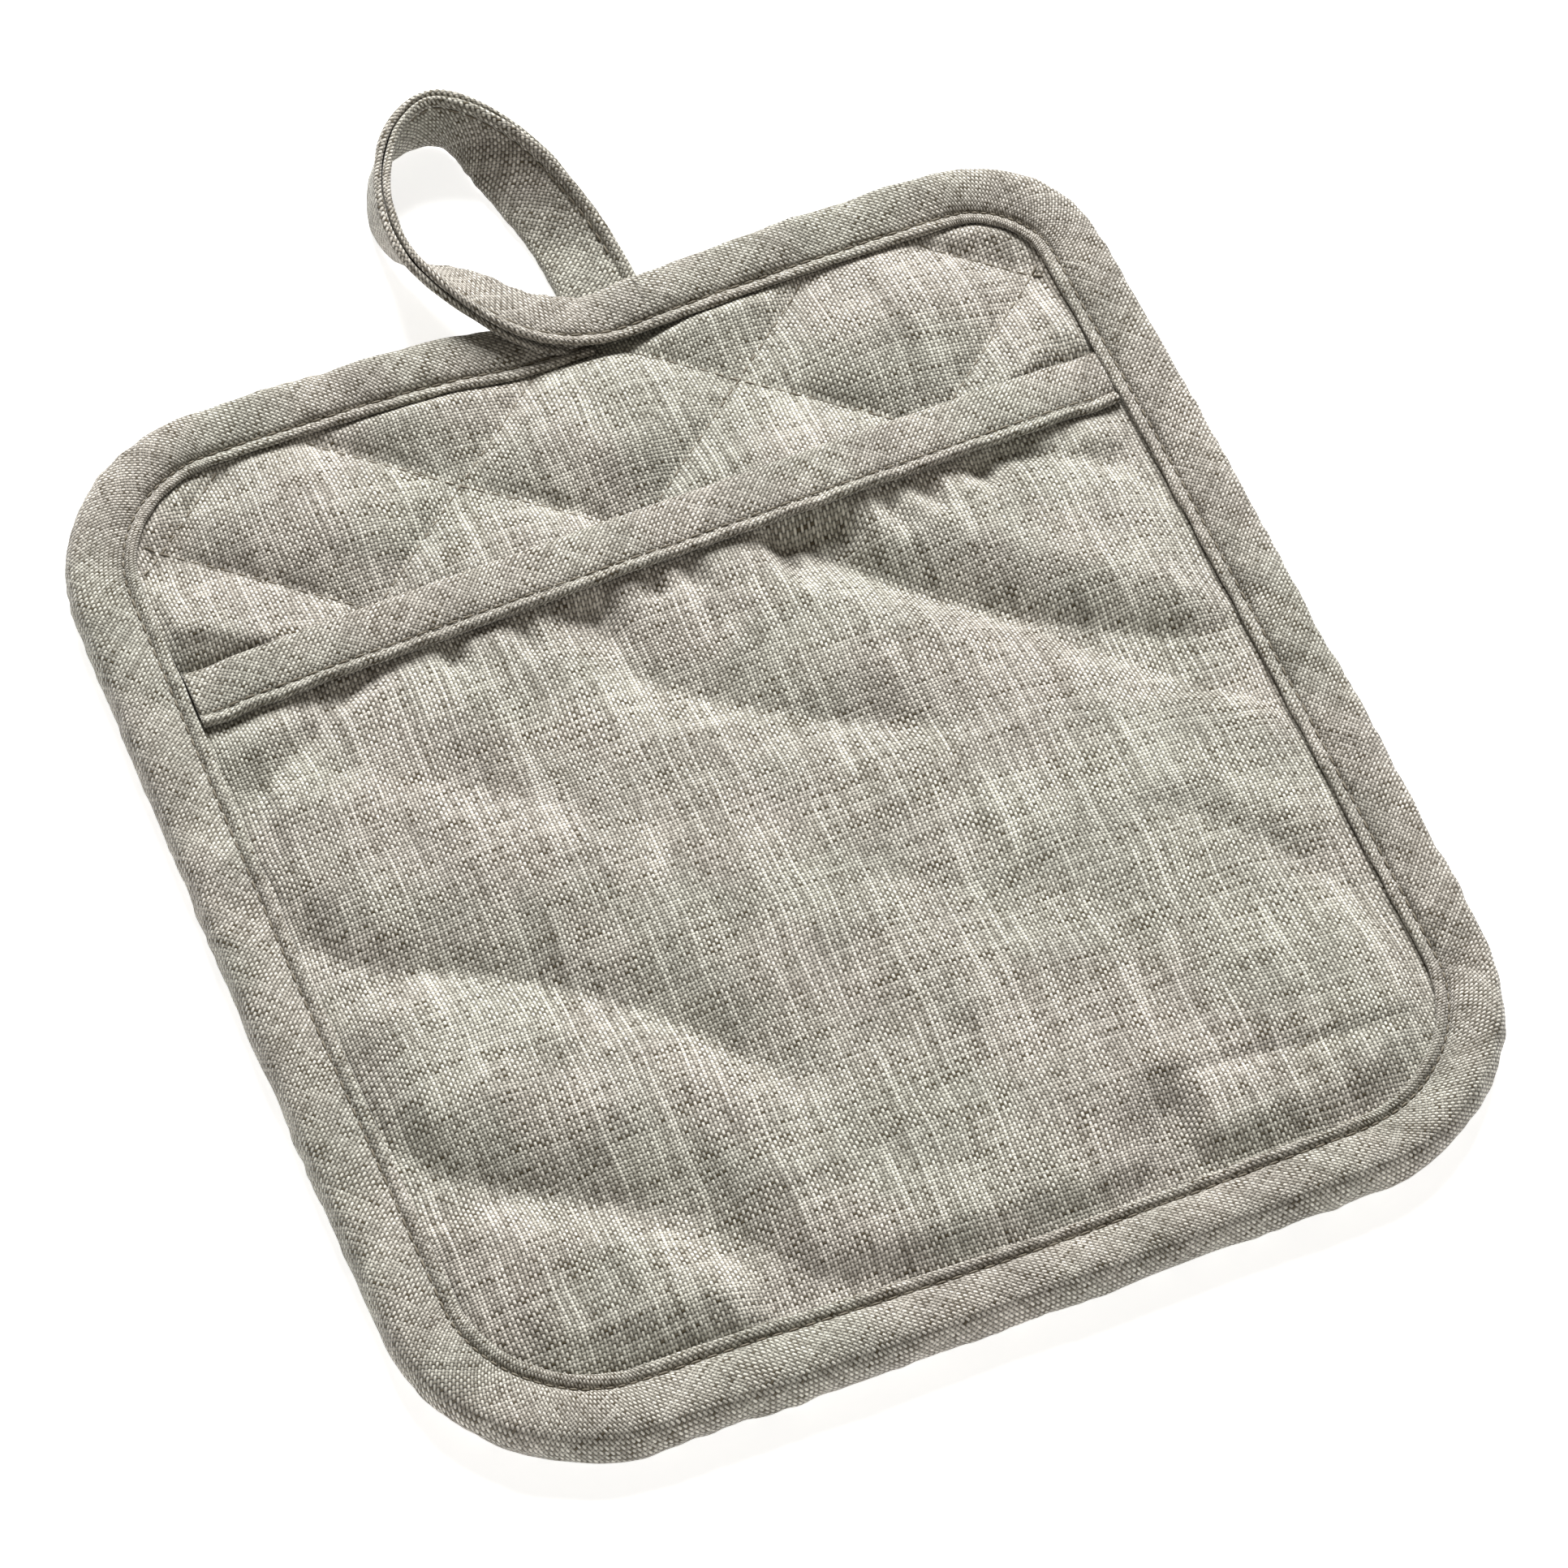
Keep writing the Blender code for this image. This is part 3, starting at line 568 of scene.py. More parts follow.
def tape_map(piece, lengths, widths):
    """A UV map in metres along and across a swept tape, for its weave to follow."""
    layer = piece.data.uv_layers.new(name="tape_plan")
    around = len(widths)
    full_girth = 2 * widths[-1] - widths[-2]
    for polygon in piece.data.polygons:
        columns = [index % around for index in polygon.vertices]
        closing = max(columns) - min(columns) > 1
        for corner in polygon.loop_indices:
            station, column = divmod(piece.data.loops[corner].vertex_index, around)
            width = full_girth if closing and column == 0 else widths[column]
            layer.data[corner].uv = (lengths[station], width)


class Graph:
    """Short ways to add nodes to one shader tree."""

    def __init__(self, tree):
        self.nodes = tree.nodes
        self.links = tree.links

    def put(self, socket, value):
        if isinstance(value, bpy.types.NodeSocket):
            self.links.new(value, socket)
        else:
            socket.default_value = value

    def math(self, operation, first, second=0.0, clamp=False):
        node = self.nodes.new("ShaderNodeMath")
        node.operation = operation
        node.use_clamp = clamp
        self.put(node.inputs[0], first)
        self.put(node.inputs[1], second)
        return node.outputs[0]

    def joined(self, x, y, z=0.0):
        node = self.nodes.new("ShaderNodeCombineXYZ")
        for socket, value in zip(node.inputs, (x, y, z)):
            self.put(socket, value)
        return node.outputs[0]

    def split(self, vector):
        node = self.nodes.new("ShaderNodeSeparateXYZ")
        self.put(node.inputs[0], vector)
        return node.outputs[0], node.outputs[1]

    def random(self, vector):
        node = self.nodes.new("ShaderNodeTexWhiteNoise")
        node.noise_dimensions = "2D"
        self.put(node.inputs["Vector"], vector)
        return node.outputs["Value"]

    def noise(self, vector, scale, detail=1.0):
        node = self.nodes.new("ShaderNodeTexNoise")
        node.noise_dimensions = "2D"
        self.put(node.inputs["Vector"], vector)
        node.inputs["Scale"].default_value = scale
        node.inputs["Detail"].default_value = detail
        return node.outputs["Fac"]

    def ramp(self, value, low, high, to_low=0.0, to_high=1.0):
        node = self.nodes.new("ShaderNodeMapRange")
        node.interpolation_type = "SMOOTHSTEP"
        for socket, number in zip(node.inputs, (value, low, high, to_low, to_high)):
            self.put(socket, number)
        return node.outputs[0]

    def mix(self, factor, first, second, blend="MIX"):
        node = self.nodes.new("ShaderNodeMix")
        node.data_type = "RGBA"
        node.blend_type = blend
        self.put(node.inputs[0], factor)
        self.put(node.inputs[6], first)
        self.put(node.inputs[7], second)
        return node.outputs[2]


def melange_group():
    """Plain weave of uneven yarns spun from pale and dark fibres."""
    tree = bpy.data.node_groups.new("melange_weave", "ShaderNodeTree")
    for name, kind in (("Plan", "Vector"), ("Pitch", "Float"), ("Pale", "Color"),
                       ("Dark", "Color"), ("Slubs", "Float")):
        tree.interface.new_socket(name, in_out="INPUT", socket_type="NodeSocket" + kind)
    for name, kind in (("Color", "Color"), ("Height", "Float")):
        tree.interface.new_socket(name, in_out="OUTPUT", socket_type="NodeSocket" + kind)
    graph = Graph(tree)
    given = tree.nodes.new("NodeGroupInput")
    put_out = tree.nodes.new("NodeGroupOutput")
    x, y = graph.split(given.outputs["Plan"])
    across = graph.math("DIVIDE", x, given.outputs["Pitch"])
    along = graph.math("DIVIDE", y, given.outputs["Pitch"])
    plan = graph.joined(across, along)
    # The yarns waver a little, counted in yarns
    across = graph.math("ADD", across, graph.math("MULTIPLY", graph.noise(plan, 0.03, 1.0), 3.0))
    along = graph.math("ADD", along, graph.math("MULTIPLY", graph.noise(plan, 0.026, 1.0), 4.0))
    warp = graph.math("FLOOR", across)
    weft = graph.math("FLOOR", along)
    # Each yarn's round back, which rises over every other crossing
    warp_swing = graph.math("COSINE", graph.math("MULTIPLY", graph.math(
        "SUBTRACT", graph.math("ADD", along, warp), 0.5), math.pi))
    weft_swing = graph.math("COSINE", graph.math("MULTIPLY", graph.math(
        "SUBTRACT", graph.math("ADD", across, weft), 0.5), math.pi))
    warp_round = graph.math("SINE", graph.math("MULTIPLY", graph.math("FRACT", across), math.pi))
    weft_round = graph.math("SINE", graph.math("MULTIPLY", graph.math("FRACT", along), math.pi))
    warp_high = graph.math("MULTIPLY", warp_round, graph.math("ADD", graph.math(
        "MULTIPLY", warp_swing, 0.35), 0.65))
    weft_high = graph.math("MULTIPLY", weft_round, graph.math("SUBTRACT", 0.62, graph.math(
        "MULTIPLY", weft_swing, 0.35)))
    height = graph.math("MAXIMUM", warp_high, weft_high)
    warp_shows = graph.math("GREATER_THAN", warp_high, weft_high)
    # Each yarn's own shade, which changes slowly along it
    warp_shade = graph.noise(graph.joined(graph.math("MULTIPLY", warp, 7.31), graph.math(
        "MULTIPLY", along, 0.035)), 1.0, 2.0)
    weft_shade = graph.noise(graph.joined(graph.math("MULTIPLY", across, 0.045), graph.math(
        "MULTIPLY", weft, 5.17)), 1.0, 2.0)
    warp_shade = graph.ramp(warp_shade, 0.30, 0.70, 0.56, 0.93)
    weft_shade = graph.ramp(weft_shade, 0.28, 0.72, 0.08, 0.46)
    # Thick pale slubs, flecks of single crossings and broad bands of warp
    slub = graph.ramp(graph.noise(graph.joined(graph.math("MULTIPLY", warp, 3.77), graph.math(
        "MULTIPLY", along, 0.02)), 1.0, 1.0), 0.60, 0.68)
    slub = graph.math("MULTIPLY", slub, given.outputs["Slubs"])
    yarn = graph.math("ADD", graph.math("MULTIPLY", warp_shade, warp_shows), graph.math(
        "MULTIPLY", weft_shade, graph.math("SUBTRACT", 1.0, warp_shows)))
    fleck = graph.ramp(graph.random(graph.joined(warp, weft)), 0.0, 1.0, -0.13, 0.13)
    band = graph.noise(graph.joined(graph.math("MULTIPLY", warp, 0.21), graph.math(
        "MULTIPLY", along, 0.010)), 1.0, 2.0)
    fleck = graph.math("ADD", fleck, graph.ramp(band, 0.3, 0.7, -0.05, 0.05))
    shade = graph.math("ADD", graph.math("ADD", yarn, fleck), graph.math(
        "MULTIPLY", slub, SLUB_STRENGTH), clamp=True)
    colour = graph.mix(shade, given.outputs["Dark"], given.outputs["Pale"])
    # Soft patches of tint and of brightness, and painted shade in the low gaps between the yarns
    patch = graph.ramp(graph.noise(plan, 0.016, 3.0), 0.35, 0.65)
    tint = graph.mix(patch, (0.97, 0.985, 0.95, 1.0), (1.03, 1.0, 0.99, 1.0))
    colour = graph.mix(1.0, colour, tint, "MULTIPLY")
    cloud = graph.ramp(graph.noise(plan, 0.05, 2.0), 0.3, 0.7, 0.90, 1.08)
    # Painted shade: the colour darkens where the weave's height sinks between the yarns
    gap = graph.math("MULTIPLY", graph.ramp(height, 0.25, 0.80, 0.28, 1.0), cloud)
    colour = graph.mix(1.0, colour, graph.joined(gap, gap, gap), "MULTIPLY")
    graph.put(put_out.inputs["Color"], colour)
    graph.put(put_out.inputs["Height"], height)
    return tree


def woven_material(name, group, cloth, pale, dark, slubs, bias=False):
    """Cloth or tape. A tape's weave follows its own map and runs across on the bias."""
    material = bpy.data.materials.new(name)
    material.use_nodes = True
    graph = Graph(material.node_tree)
    shader = graph.nodes["Principled BSDF"]
    source = graph.nodes.new("ShaderNodeTexCoord")
    mapping = graph.nodes.new("ShaderNodeMapping")
    graph.put(mapping.inputs["Vector"], source.outputs["UV" if bias else "Object"])
    mapping.inputs["Rotation"].default_value[2] = BIAS_ANGLE if bias else CLOTH_ANGLE
    weave = graph.nodes.new("ShaderNodeGroup")
    weave.node_tree = group
    graph.put(weave.inputs["Plan"], mapping.outputs[0])
    weave.inputs["Pitch"].default_value = cloth.yarn_pitch
    weave.inputs["Pale"].default_value = (*pale, 1.0)
    weave.inputs["Dark"].default_value = (*dark, 1.0)
    weave.inputs["Slubs"].default_value = slubs
    bump = graph.nodes.new("ShaderNodeBump")
    bump.inputs["Strength"].default_value = cloth.weave_relief
    bump.inputs["Distance"].default_value = cloth.yarn_pitch * 0.35
    graph.put(bump.inputs["Height"], weave.outputs["Height"])
    graph.put(shader.inputs["Base Color"], weave.outputs["Color"])
    graph.put(shader.inputs["Normal"], bump.outputs[0])
    shader.inputs["Roughness"].default_value = 0.92
    shader.inputs["Specular IOR Level"].default_value = 0.2
    shader.inputs["Sheen Weight"].default_value = 0.22
    shader.inputs["Sheen Roughness"].default_value = 0.5
    return material


def fibre_material(name, colour, scale, roughness):
    """Thread and wadding: one colour with a fine uneven grain."""
    material = bpy.data.materials.new(name)
    material.use_nodes = True
    graph = Graph(material.node_tree)
    shader = graph.nodes["Principled BSDF"]
    source = graph.nodes.new("ShaderNodeTexCoord")
    grain = graph.nodes.new("ShaderNodeTexNoise")
    grain.inputs["Scale"].default_value = scale
    graph.put(grain.inputs["Vector"], source.outputs["Object"])
    darker = tuple(0.6 * value for value in colour)
    shade = graph.mix(grain.outputs["Fac"], (*darker, 1.0), (*colour, 1.0))
    graph.put(shader.inputs["Base Color"], shade)
    shader.inputs["Roughness"].default_value = roughness
    bump = graph.nodes.new("ShaderNodeBump")
    bump.inputs["Strength"].default_value = 0.5
    bump.inputs["Distance"].default_value = 0.3 / scale
    graph.put(bump.inputs["Height"], grain.outputs["Fac"])
    graph.put(shader.inputs["Normal"], bump.outputs[0])
    return material


def cloth_material(context):
    """The pad's and pocket's cloth, with slubs."""
    cloth = context.scene.pot_holder_cloth
    return bpy.data.materials.get("greige_cloth") or woven_material(
        "greige_cloth", shared_weave(), cloth, cloth.pale_yarn, cloth.dark_yarn, 1.0)


def tape_material(context):
    """The same cloth cut on the bias, a little darker and with few slubs."""
    cloth = context.scene.pot_holder_cloth
    pale = [cloth.tape_shade * value for value in cloth.pale_yarn]
    return bpy.data.materials.get("greige_bias_tape") or woven_material(
        "greige_bias_tape", shared_weave(), cloth, pale, cloth.dark_yarn, 0.2, bias=True)


def thread_material(context):
    sewing = context.scene.pot_holder_sewing
    return bpy.data.materials.get("sewing_thread") or fibre_material(
        "sewing_thread", sewing.thread_colour, 4000.0, 0.7)


def shared_weave():
    """The weave's node group, built once."""
    return bpy.data.node_groups.get("melange_weave") or melange_group()


def lattice(steps):
    """Grid of points along the two families of quilting seams."""
    reach = np.linspace(-SEAMS_EACH_WAY, SEAMS_EACH_WAY, 2 * SEAMS_EACH_WAY * steps + 1)
    u, v = np.meshgrid(reach, reach)
    return quilt_point(u, v)


def hem_line(x):
    """Middle of the hem's band at each x: its y, and the height of the cloth in it."""
    y = hem_y(x)
    return y, pocket_height(x, y) - CLOTH / 2


def hem_rows():
    """The hem's section all round: across its band, and above the cloth."""
    section = np.vstack([through(HEM_FRONT, 2), HEM_BACK]) * MM
    return section[:, 0], section[:, 1]


def mirrored_row(row):
    """The point of the tape's section that faces this one from below."""
    inset, z, across, offset = row
    return inset, ROLL_TOP / MM - z, across, -offset


def tape_rows():
    """The tape's section all round: rows of pad (inset, z) and loop (across, offset)."""
    top = [pad + loop for pad, loop in TAPE_SECTION]
    outer = through(top + [mirrored_row(row) for row in reversed(top[:-1])], SECTION_STEPS)
    inner = [pad + loop for pad, loop in TAPE_HOLLOW]
    back = [mirrored_row(row) for row in inner[:-1]]
    return np.vstack([outer, back + inner[::-1]]) * MM, len(outer)


def outward_normals(grid):
    """Unit normals of a swept grid whose rows go round the section."""
    along = np.gradient(grid, axis=0)
    around = np.gradient(grid, axis=1)
    normals = np.cross(along, around)
    return normals / np.maximum(np.linalg.norm(normals, axis=2), 1e-12)[:, :, None]


def length_of(line):
    """How long a polyline is."""
    return np.linalg.norm(np.diff(line, axis=0), axis=1).sum()


def edge_stations():
    """The tape's stations on the pad's edge, with the way inwards at each."""
    ring = edge_run()
    ring = np.column_stack([ring, np.zeros(len(ring))])
    ring = evenly(ring, round(length_of(ring) / STATION_STEP))
    tangent = np.gradient(ring, axis=0)
    tangent /= np.linalg.norm(tangent, axis=1)[:, None]
    return ring, np.column_stack([-tangent[:, 1], tangent[:, 0], tangent[:, 2]])


def loop_stations():
    """The free tape's stations: its open edge, its fold, and their place in LOOP_RAILS."""
    rails = np.array([lip + fold for lip, fold in LOOP_RAILS]) * MM
    rails[:, (1, 4)] += FAR_EDGE
    count = np.arange(len(rails), dtype=float)
    rails = through(np.column_stack([rails, count]), 12)
    middles = np.column_stack([(rails[:, :3] + rails[:, 3:6]) / 2, rails])
    return evenly(middles, round(length_of(middles[:, :3]) / STATION_STEP))[:, 3:]


def edge_tape_grid():
    """Section points at every station: round the pad, off its edge and round the loop.

    Given with them are the section's rows, how many of them show on its outer side, the
    station where the tape leaves the edge, and each edge station's x.
    """
    rows, outer = tape_rows()
    ring, inward = edge_stations()
    rails = loop_stations()
    x = ring[:, 0]
    far = ring[:, 1] > 0
    crossing = np.arange(len(ring)) > len(ring) // 2
    leave = np.flatnonzero(crossing & far & (x < LOOP_RAILS[0][0][0] * MM))[0]
    stations = [ring_section(point, way, rows) for point, way in zip(ring[:leave], inward)]
    tail_x = (rails[:, 0] + rails[:, 3]) / 2
    across = rails[:, 3:6] - rails[:, :3]
    width = np.linalg.norm(across, axis=1)[:, None]
    across = across / width
    travel = np.gradient((rails[:, :3] + rails[:, 3:6]) / 2, axis=0)
    outward = np.cross(across, travel)
    outward /= np.linalg.norm(outward, axis=1)[:, None]
    blend = ease(rails[:, 6] / LIFT_OFF_RAIL)
    for number, share in enumerate(blend):
        reach = np.outer(rows[:, 2] / TAPE_WIDTH, across[number] * width[number])
        free = rails[number, :3] + reach + np.outer(rows[:, 3], outward[number])
        if share < 1:
            near = leave + np.argmin(np.abs(x[leave:] - tail_x[number]))
            bound = ring_section(ring[near], inward[near], rows)
            free = bound + (free - bound) * share
        stations.append(free)
    return np.array(stations), rows, outer, leave, x


def ring_section(point, inward, rows):
    """The tape's section where it binds the pad's edge at a point."""
    section = point + np.outer(rows[:, 0] * tape_reach(point[0], point[1]), inward)
    section[:, 2] = rows[:, 1]
    return section


def flatten_under_tape(grid, rows, leave, x):
    """The tape's start is pressed flat where the loop's end crosses over it."""
    pressed = 1 - ease((-x[:leave] - 9 * MM) / (14 * MM))
    pressed[leave // 4:] = 0.0
    tall = rows[:, 1] > ROLL_TOP / 2
    height = grid[:leave, :, 2]
    height -= np.where(tall, LOOP_PRESS * pressed[:, None], 0.0)
    tail = ease((x[:leave] - 1 * MM) / (3 * MM)) * ease((25 * MM - x[:leave]) / (3 * MM))
    tail *= grid[:leave, 0, 1] > 0
    lift = tail[:, None] * (UNDER_LOOP_END - height).clip(0)
    height[:] = np.where(tall, height, height + lift)


def pucker(grid, rows, outer):
    """Small waves, drag lines and needle holes in the tape's outer side."""
    stations = len(grid)
    run = np.arange(stations)[:, None] * STATION_STEP
    across = rows[None, :outer, 2]
    side = np.sign(rows[None, :outer, 3] + 1e-9)
    run, across, side = np.broadcast_arrays(run, across, side)
    body = ease((across - 2.6 * MM) / (3 * MM))
    swell = wander(run / (11 * MM), across / (9 * MM) + side, 1.3)
    drag = wander((run + 0.9 * across * side) / (3.1 * MM), across / (16 * MM) + 3 * side, 4.4)
    busy = ease(wander(run / (27 * MM), 0 * across, 9.9) + 0.62)
    lip = wander(run / (6.5 * MM), across / (4 * MM) + 7 * side, 6.1)
    phase = np.cos(2 * math.pi * run / STITCH_PITCH)
    in_seam = np.exp(-((across - GROOVE) / (0.75 * MM)) ** 2)
    beside = np.exp(-((across - 4.6 * MM) / (1.6 * MM)) ** 2)
    move = TAPE_WAVE * swell * body + TAPE_DRAG * drag * busy * body
    move += LIP_WAVE * lip * (1 - body) - NEEDLE_DIP * (0.5 + 0.5 * phase) * in_seam
    move += STITCH_PULL * phase * beside
    normals = outward_normals(grid)[:, :outer]
    middle = grid.mean(axis=1, keepdims=True)
    facing = np.sign(((grid[:, :outer] - middle) * normals).sum(axis=2, keepdims=True).mean())
    grid[:, :outer] += normals * facing * move[:, :, None]
    grid[:, :, 2] = np.maximum(grid[:, :, 2], 0.0)


def stitch_template():
    """One stitch as a short plump capsule along x, from -1 to 1, with its ends dipped."""
    rings = []
    for share in np.linspace(-1, 1, 7):
        radius = math.sqrt(max(0.0, 1 - share ** 4)) + 0.05
        angles = np.linspace(0, 2 * math.pi, 6, endpoint=False)
        dip = 0.9 * share ** 4
        rings.append([(share, radius * math.cos(a), radius * math.sin(a) - dip) for a in angles])
    return np.array(rings)


def stitch_run(points, normals, width, length_share):
    """Stitches laid from each point to the next, as points and faces."""
    template = stitch_template()
    shape = template.reshape(-1, 3)
    faces = tube_faces(*template.shape[:2])
    all_points = []
    all_faces = []
    for start, end, normal in zip(points, points[1:], normals):
        middle = (start + end) / 2
        along = end - start
        length = np.linalg.norm(along)
        if length < 1e-6:
            continue
        along = along / length
        side = np.cross(normal, along)
        side /= np.linalg.norm(side)
        up = np.cross(along, side)
        drawn = (middle + np.outer(shape[:, 0] * length * length_share / 2, along)
                 + np.outer(shape[:, 1] * width / 2, side) + np.outer(shape[:, 2] * width / 2, up))
        base = len(all_points) * len(shape)
        all_points.append(drawn)
        all_faces += [tuple(base + index for index in face) for face in faces]
    return all_points, all_faces


def stitched(name, runs, context, *nodes):
    """One object of stitches for several runs, each a pair of points and normals."""
    sewing = context.scene.pot_holder_sewing
    points = []
    faces = []
    for line, normals in runs:
        more, drawn = stitch_run(line, normals, sewing.thread_width, sewing.stitch_share)
        shift = sum(len(part) for part in points)
        points += more
        faces += [tuple(index + shift for index in face) for face in drawn]
    piece = piece_from(name, np.vstack(points), faces)
    face_outwards(piece)
    return dressed(piece, thread_material(context), "thread", *nodes)


class PotHolderCloth(bpy.types.PropertyGroup):
    """Cloth and tape of the pot holder"""

    yarn_pitch: FloatProperty(
        name="Yarn Pitch", description="Distance between neighbouring yarns of the plain weave",
        default=0.68 * MM, min=0.1 * MM, max=2 * MM, subtype="DISTANCE", precision=5)
    weave_relief: FloatProperty(
        name="Weave Relief", description="How strongly the yarns stand out of the cloth",
        default=0.75, min=0.0, max=1.0, subtype="FACTOR")
    pale_yarn: FloatVectorProperty(
        name="Pale Yarn", description="Colour of the palest fibres", subtype="COLOR",
        default=(0.76, 0.735, 0.665), min=0.0, max=1.0)
    dark_yarn: FloatVectorProperty(
        name="Dark Yarn", description="Colour of the darkest fibres", subtype="COLOR",
        default=(0.082, 0.066, 0.040), min=0.0, max=1.0)
    tape_shade: FloatProperty(
        name="Tape Shade", description="How dark the tape is beside the cloth",
        default=0.88, min=0.0, max=1.0, subtype="FACTOR")
    wadding_colour: FloatVectorProperty(
        name="Wadding Colour", description="Colour of the unbleached cotton wadding",
        subtype="COLOR", default=(0.75, 0.72, 0.65), min=0.0, max=1.0)


class PotHolderSewing(bpy.types.PropertyGroup):
    """Stitching of the pot holder"""

    thread_width: FloatProperty(
        name="Thread Width", description="Thickness of the sewing thread",
        default=0.42 * MM, min=0.1 * MM, max=2 * MM, subtype="DISTANCE", precision=5)
    stitch_share: FloatProperty(
        name="Stitch Share", description="How much of the stitch pitch shows thread on top",
        default=0.74, min=0.2, max=1.0, subtype="FACTOR")
    thread_colour: FloatVectorProperty(
        name="Thread Colour", description="Colour of the sewing thread", subtype="COLOR",
        default=(0.22, 0.19, 0.14), min=0.0, max=1.0)


class PotHolderStage(bpy.types.PropertyGroup):
    """Floor and lights round the pot holder"""

    floor_colour: FloatVectorProperty(
        name="Floor Colour", description="Colour of the plain floor", subtype="COLOR",
        default=(0.93, 0.93, 0.93), min=0.0, max=1.0)
    fill_colour: FloatVectorProperty(
        name="Fill Colour", description="Colour of the surroundings", subtype="COLOR",
        default=(1.0, 0.92, 0.80), min=0.0, max=1.0)
    floor_glow: FloatProperty(
        name="Floor Glow", description="Light that the floor gives of itself",
        default=0.70, min=0.0)
    key_power: FloatProperty(
        name="Key Light", description="Power of the soft light behind the pot holder",
        default=236.0, min=0.0, subtype="POWER")
    front_power: FloatProperty(
        name="Front Light", description="Power of the faint low light on the camera's side",
        default=7.0, min=0.0, subtype="POWER")
    fill_strength: FloatProperty(
        name="Fill Light", description="Strength of the light from all round",
        default=0.20, min=0.0)


class POTHOLDER_OT_quilted_pad(bpy.types.Operator):
    """Add the quilted pad: face cloth, wadding and back cloth"""

    bl_idname = "potholder.quilted_pad"
    bl_label = "Add Quilted Pad"
    bl_options = {"REGISTER", "UNDO"}

    def execute(self, context):
        cloth = cloth_material(context)
        x, y = lattice(CELL_STEPS)
        keep = edge_distance(x, y) > LAYER_INSET
        face = face_height(x, y)
        back = back_height(x, y)
        face_cloth = thick_sheet("face_cloth", x, y, face, face - CLOTH, keep)
        dressed(face_cloth, cloth, "cloth", "face_panel")
        back_cloth = thick_sheet("back_cloth", x, y, back + CLOTH, back, keep)
        dressed(back_cloth, cloth, "cloth", "back_panel")
        x, y = lattice(WADDING_CELL_STEPS)
        keep = edge_distance(x, y) > LAYER_INSET
        top = FACE_TOP + 0.8 * (face_height(x, y) - FACE_TOP) - CLOTH - 3 * CLEAR
        under = np.minimum(back_height(x, y) + CLOTH + CLEAR, top - CLEAR)
        wadding = thick_sheet("cotton_wadding", x, y, top, under, keep)
        colour = context.scene.pot_holder_cloth.wadding_colour
        fibre = fibre_material("cotton_wadding", colour, 900.0, 1.0)
        dressed(wadding, fibre, "wadding", "wadding")
        return {"FINISHED"}


class POTHOLDER_OT_pocket(bpy.types.Operator):
    """Add the hand pocket with its folds"""

    bl_idname = "potholder.pocket"
    bl_label = "Add Pocket"
    bl_options = {"REGISTER", "UNDO"}

    def execute(self, context):
        half = HALF_WIDTH - LAYER_INSET
        near = LAYER_INSET - HALF_LENGTH
        columns = round(2 * half / POCKET_STEP)
        rows = round((HEM_Y - near) / POCKET_STEP)
        x, share = np.meshgrid(np.linspace(-half, half, columns), np.linspace(0.0, 1.0, rows))
        far = hem_y(x) + HEM_WIDTH / 2 - 3.0 * MM
        y = near + (far - near) * share
        across, along = bow_factors(x, y)
        x = x * across
        y = y * along
        keep = edge_distance(x, y) > LAYER_INSET - 0.2 * MM
        top = pocket_height(x, y)
        pocket = thick_sheet("pocket_cloth", x, y, top, top - CLOTH, keep)
        dressed(pocket, cloth_material(context), "cloth", "pocket_panel")
        return {"FINISHED"}


class POTHOLDER_OT_pocket_hem(bpy.types.Operator):
    """Add the folded tape along the pocket's mouth"""

    bl_idname = "potholder.pocket_hem"
    bl_label = "Add Pocket Hem"
    bl_options = {"REGISTER", "UNDO"}

    def execute(self, context):
        ends = np.array((-HALF_WIDTH, HALF_WIDTH))
        left, right = ends + np.sign(ends) * (0.3 * MM - LIP_INSET * tape_reach(ends, HEM_Y))
        x = np.linspace(left, right, round((right - left) / STATION_STEP))
        y, z = hem_line(x)
        across, lift = hem_rows()
        run, width = np.meshgrid(x, across, indexing="ij")
        front = np.arange(len(across)) < len(across) - len(HEM_BACK)
        lip = np.exp(-((width + 5.4 * MM) / (1.5 * MM)) ** 2) * front
        wave = HEM_LIP_WAVE * wander(run / (7 * MM), 0 * run, 2.2)
        wave += HEM_FINE_WAVE * wander(run / (3.3 * MM), 0 * run, 7.4)
        phase = 0.5 + 0.5 * np.cos(2 * math.pi * run / STITCH_PITCH)
        seam = np.exp(-((width - HEM_SEAM_SHIFT) / (0.7 * MM)) ** 2) * front
        body = HEM_BODY_WAVE * wander(run / (15 * MM), width / (9 * MM), 5.2) * front
        grid = np.empty((len(x), len(across), 3))
        grid[:, :, 0] = run
        grid[:, :, 1] = y[:, None] + width + wave * lip
        grid[:, :, 2] = z[:, None] + lift + 0.5 * wave * lip + body - HEM_NEEDLE_DIP * phase * seam
        hem = swept("pocket_hem_tape", grid)
        girth = np.concatenate([[0.0], np.cumsum(np.hypot(np.diff(across), np.diff(lift)))])
        tape_map(hem, x, girth)
        face_outwards(hem)
        dressed(hem, tape_material(context), "tape", "pocket_hem")
        points = np.arange(left + 2 * MM, right - 2 * MM, STITCH_PITCH)
        y, z = hem_line(points)
        line = np.column_stack([points, y + HEM_SEAM_SHIFT, z + HEM_SEAM_RISE])
        up = np.tile((0.0, 0.0, 1.0), (len(line), 1))
        stitched("hem_stitches", [(line, up)], context, "hem_stitch")
        return {"FINISHED"}


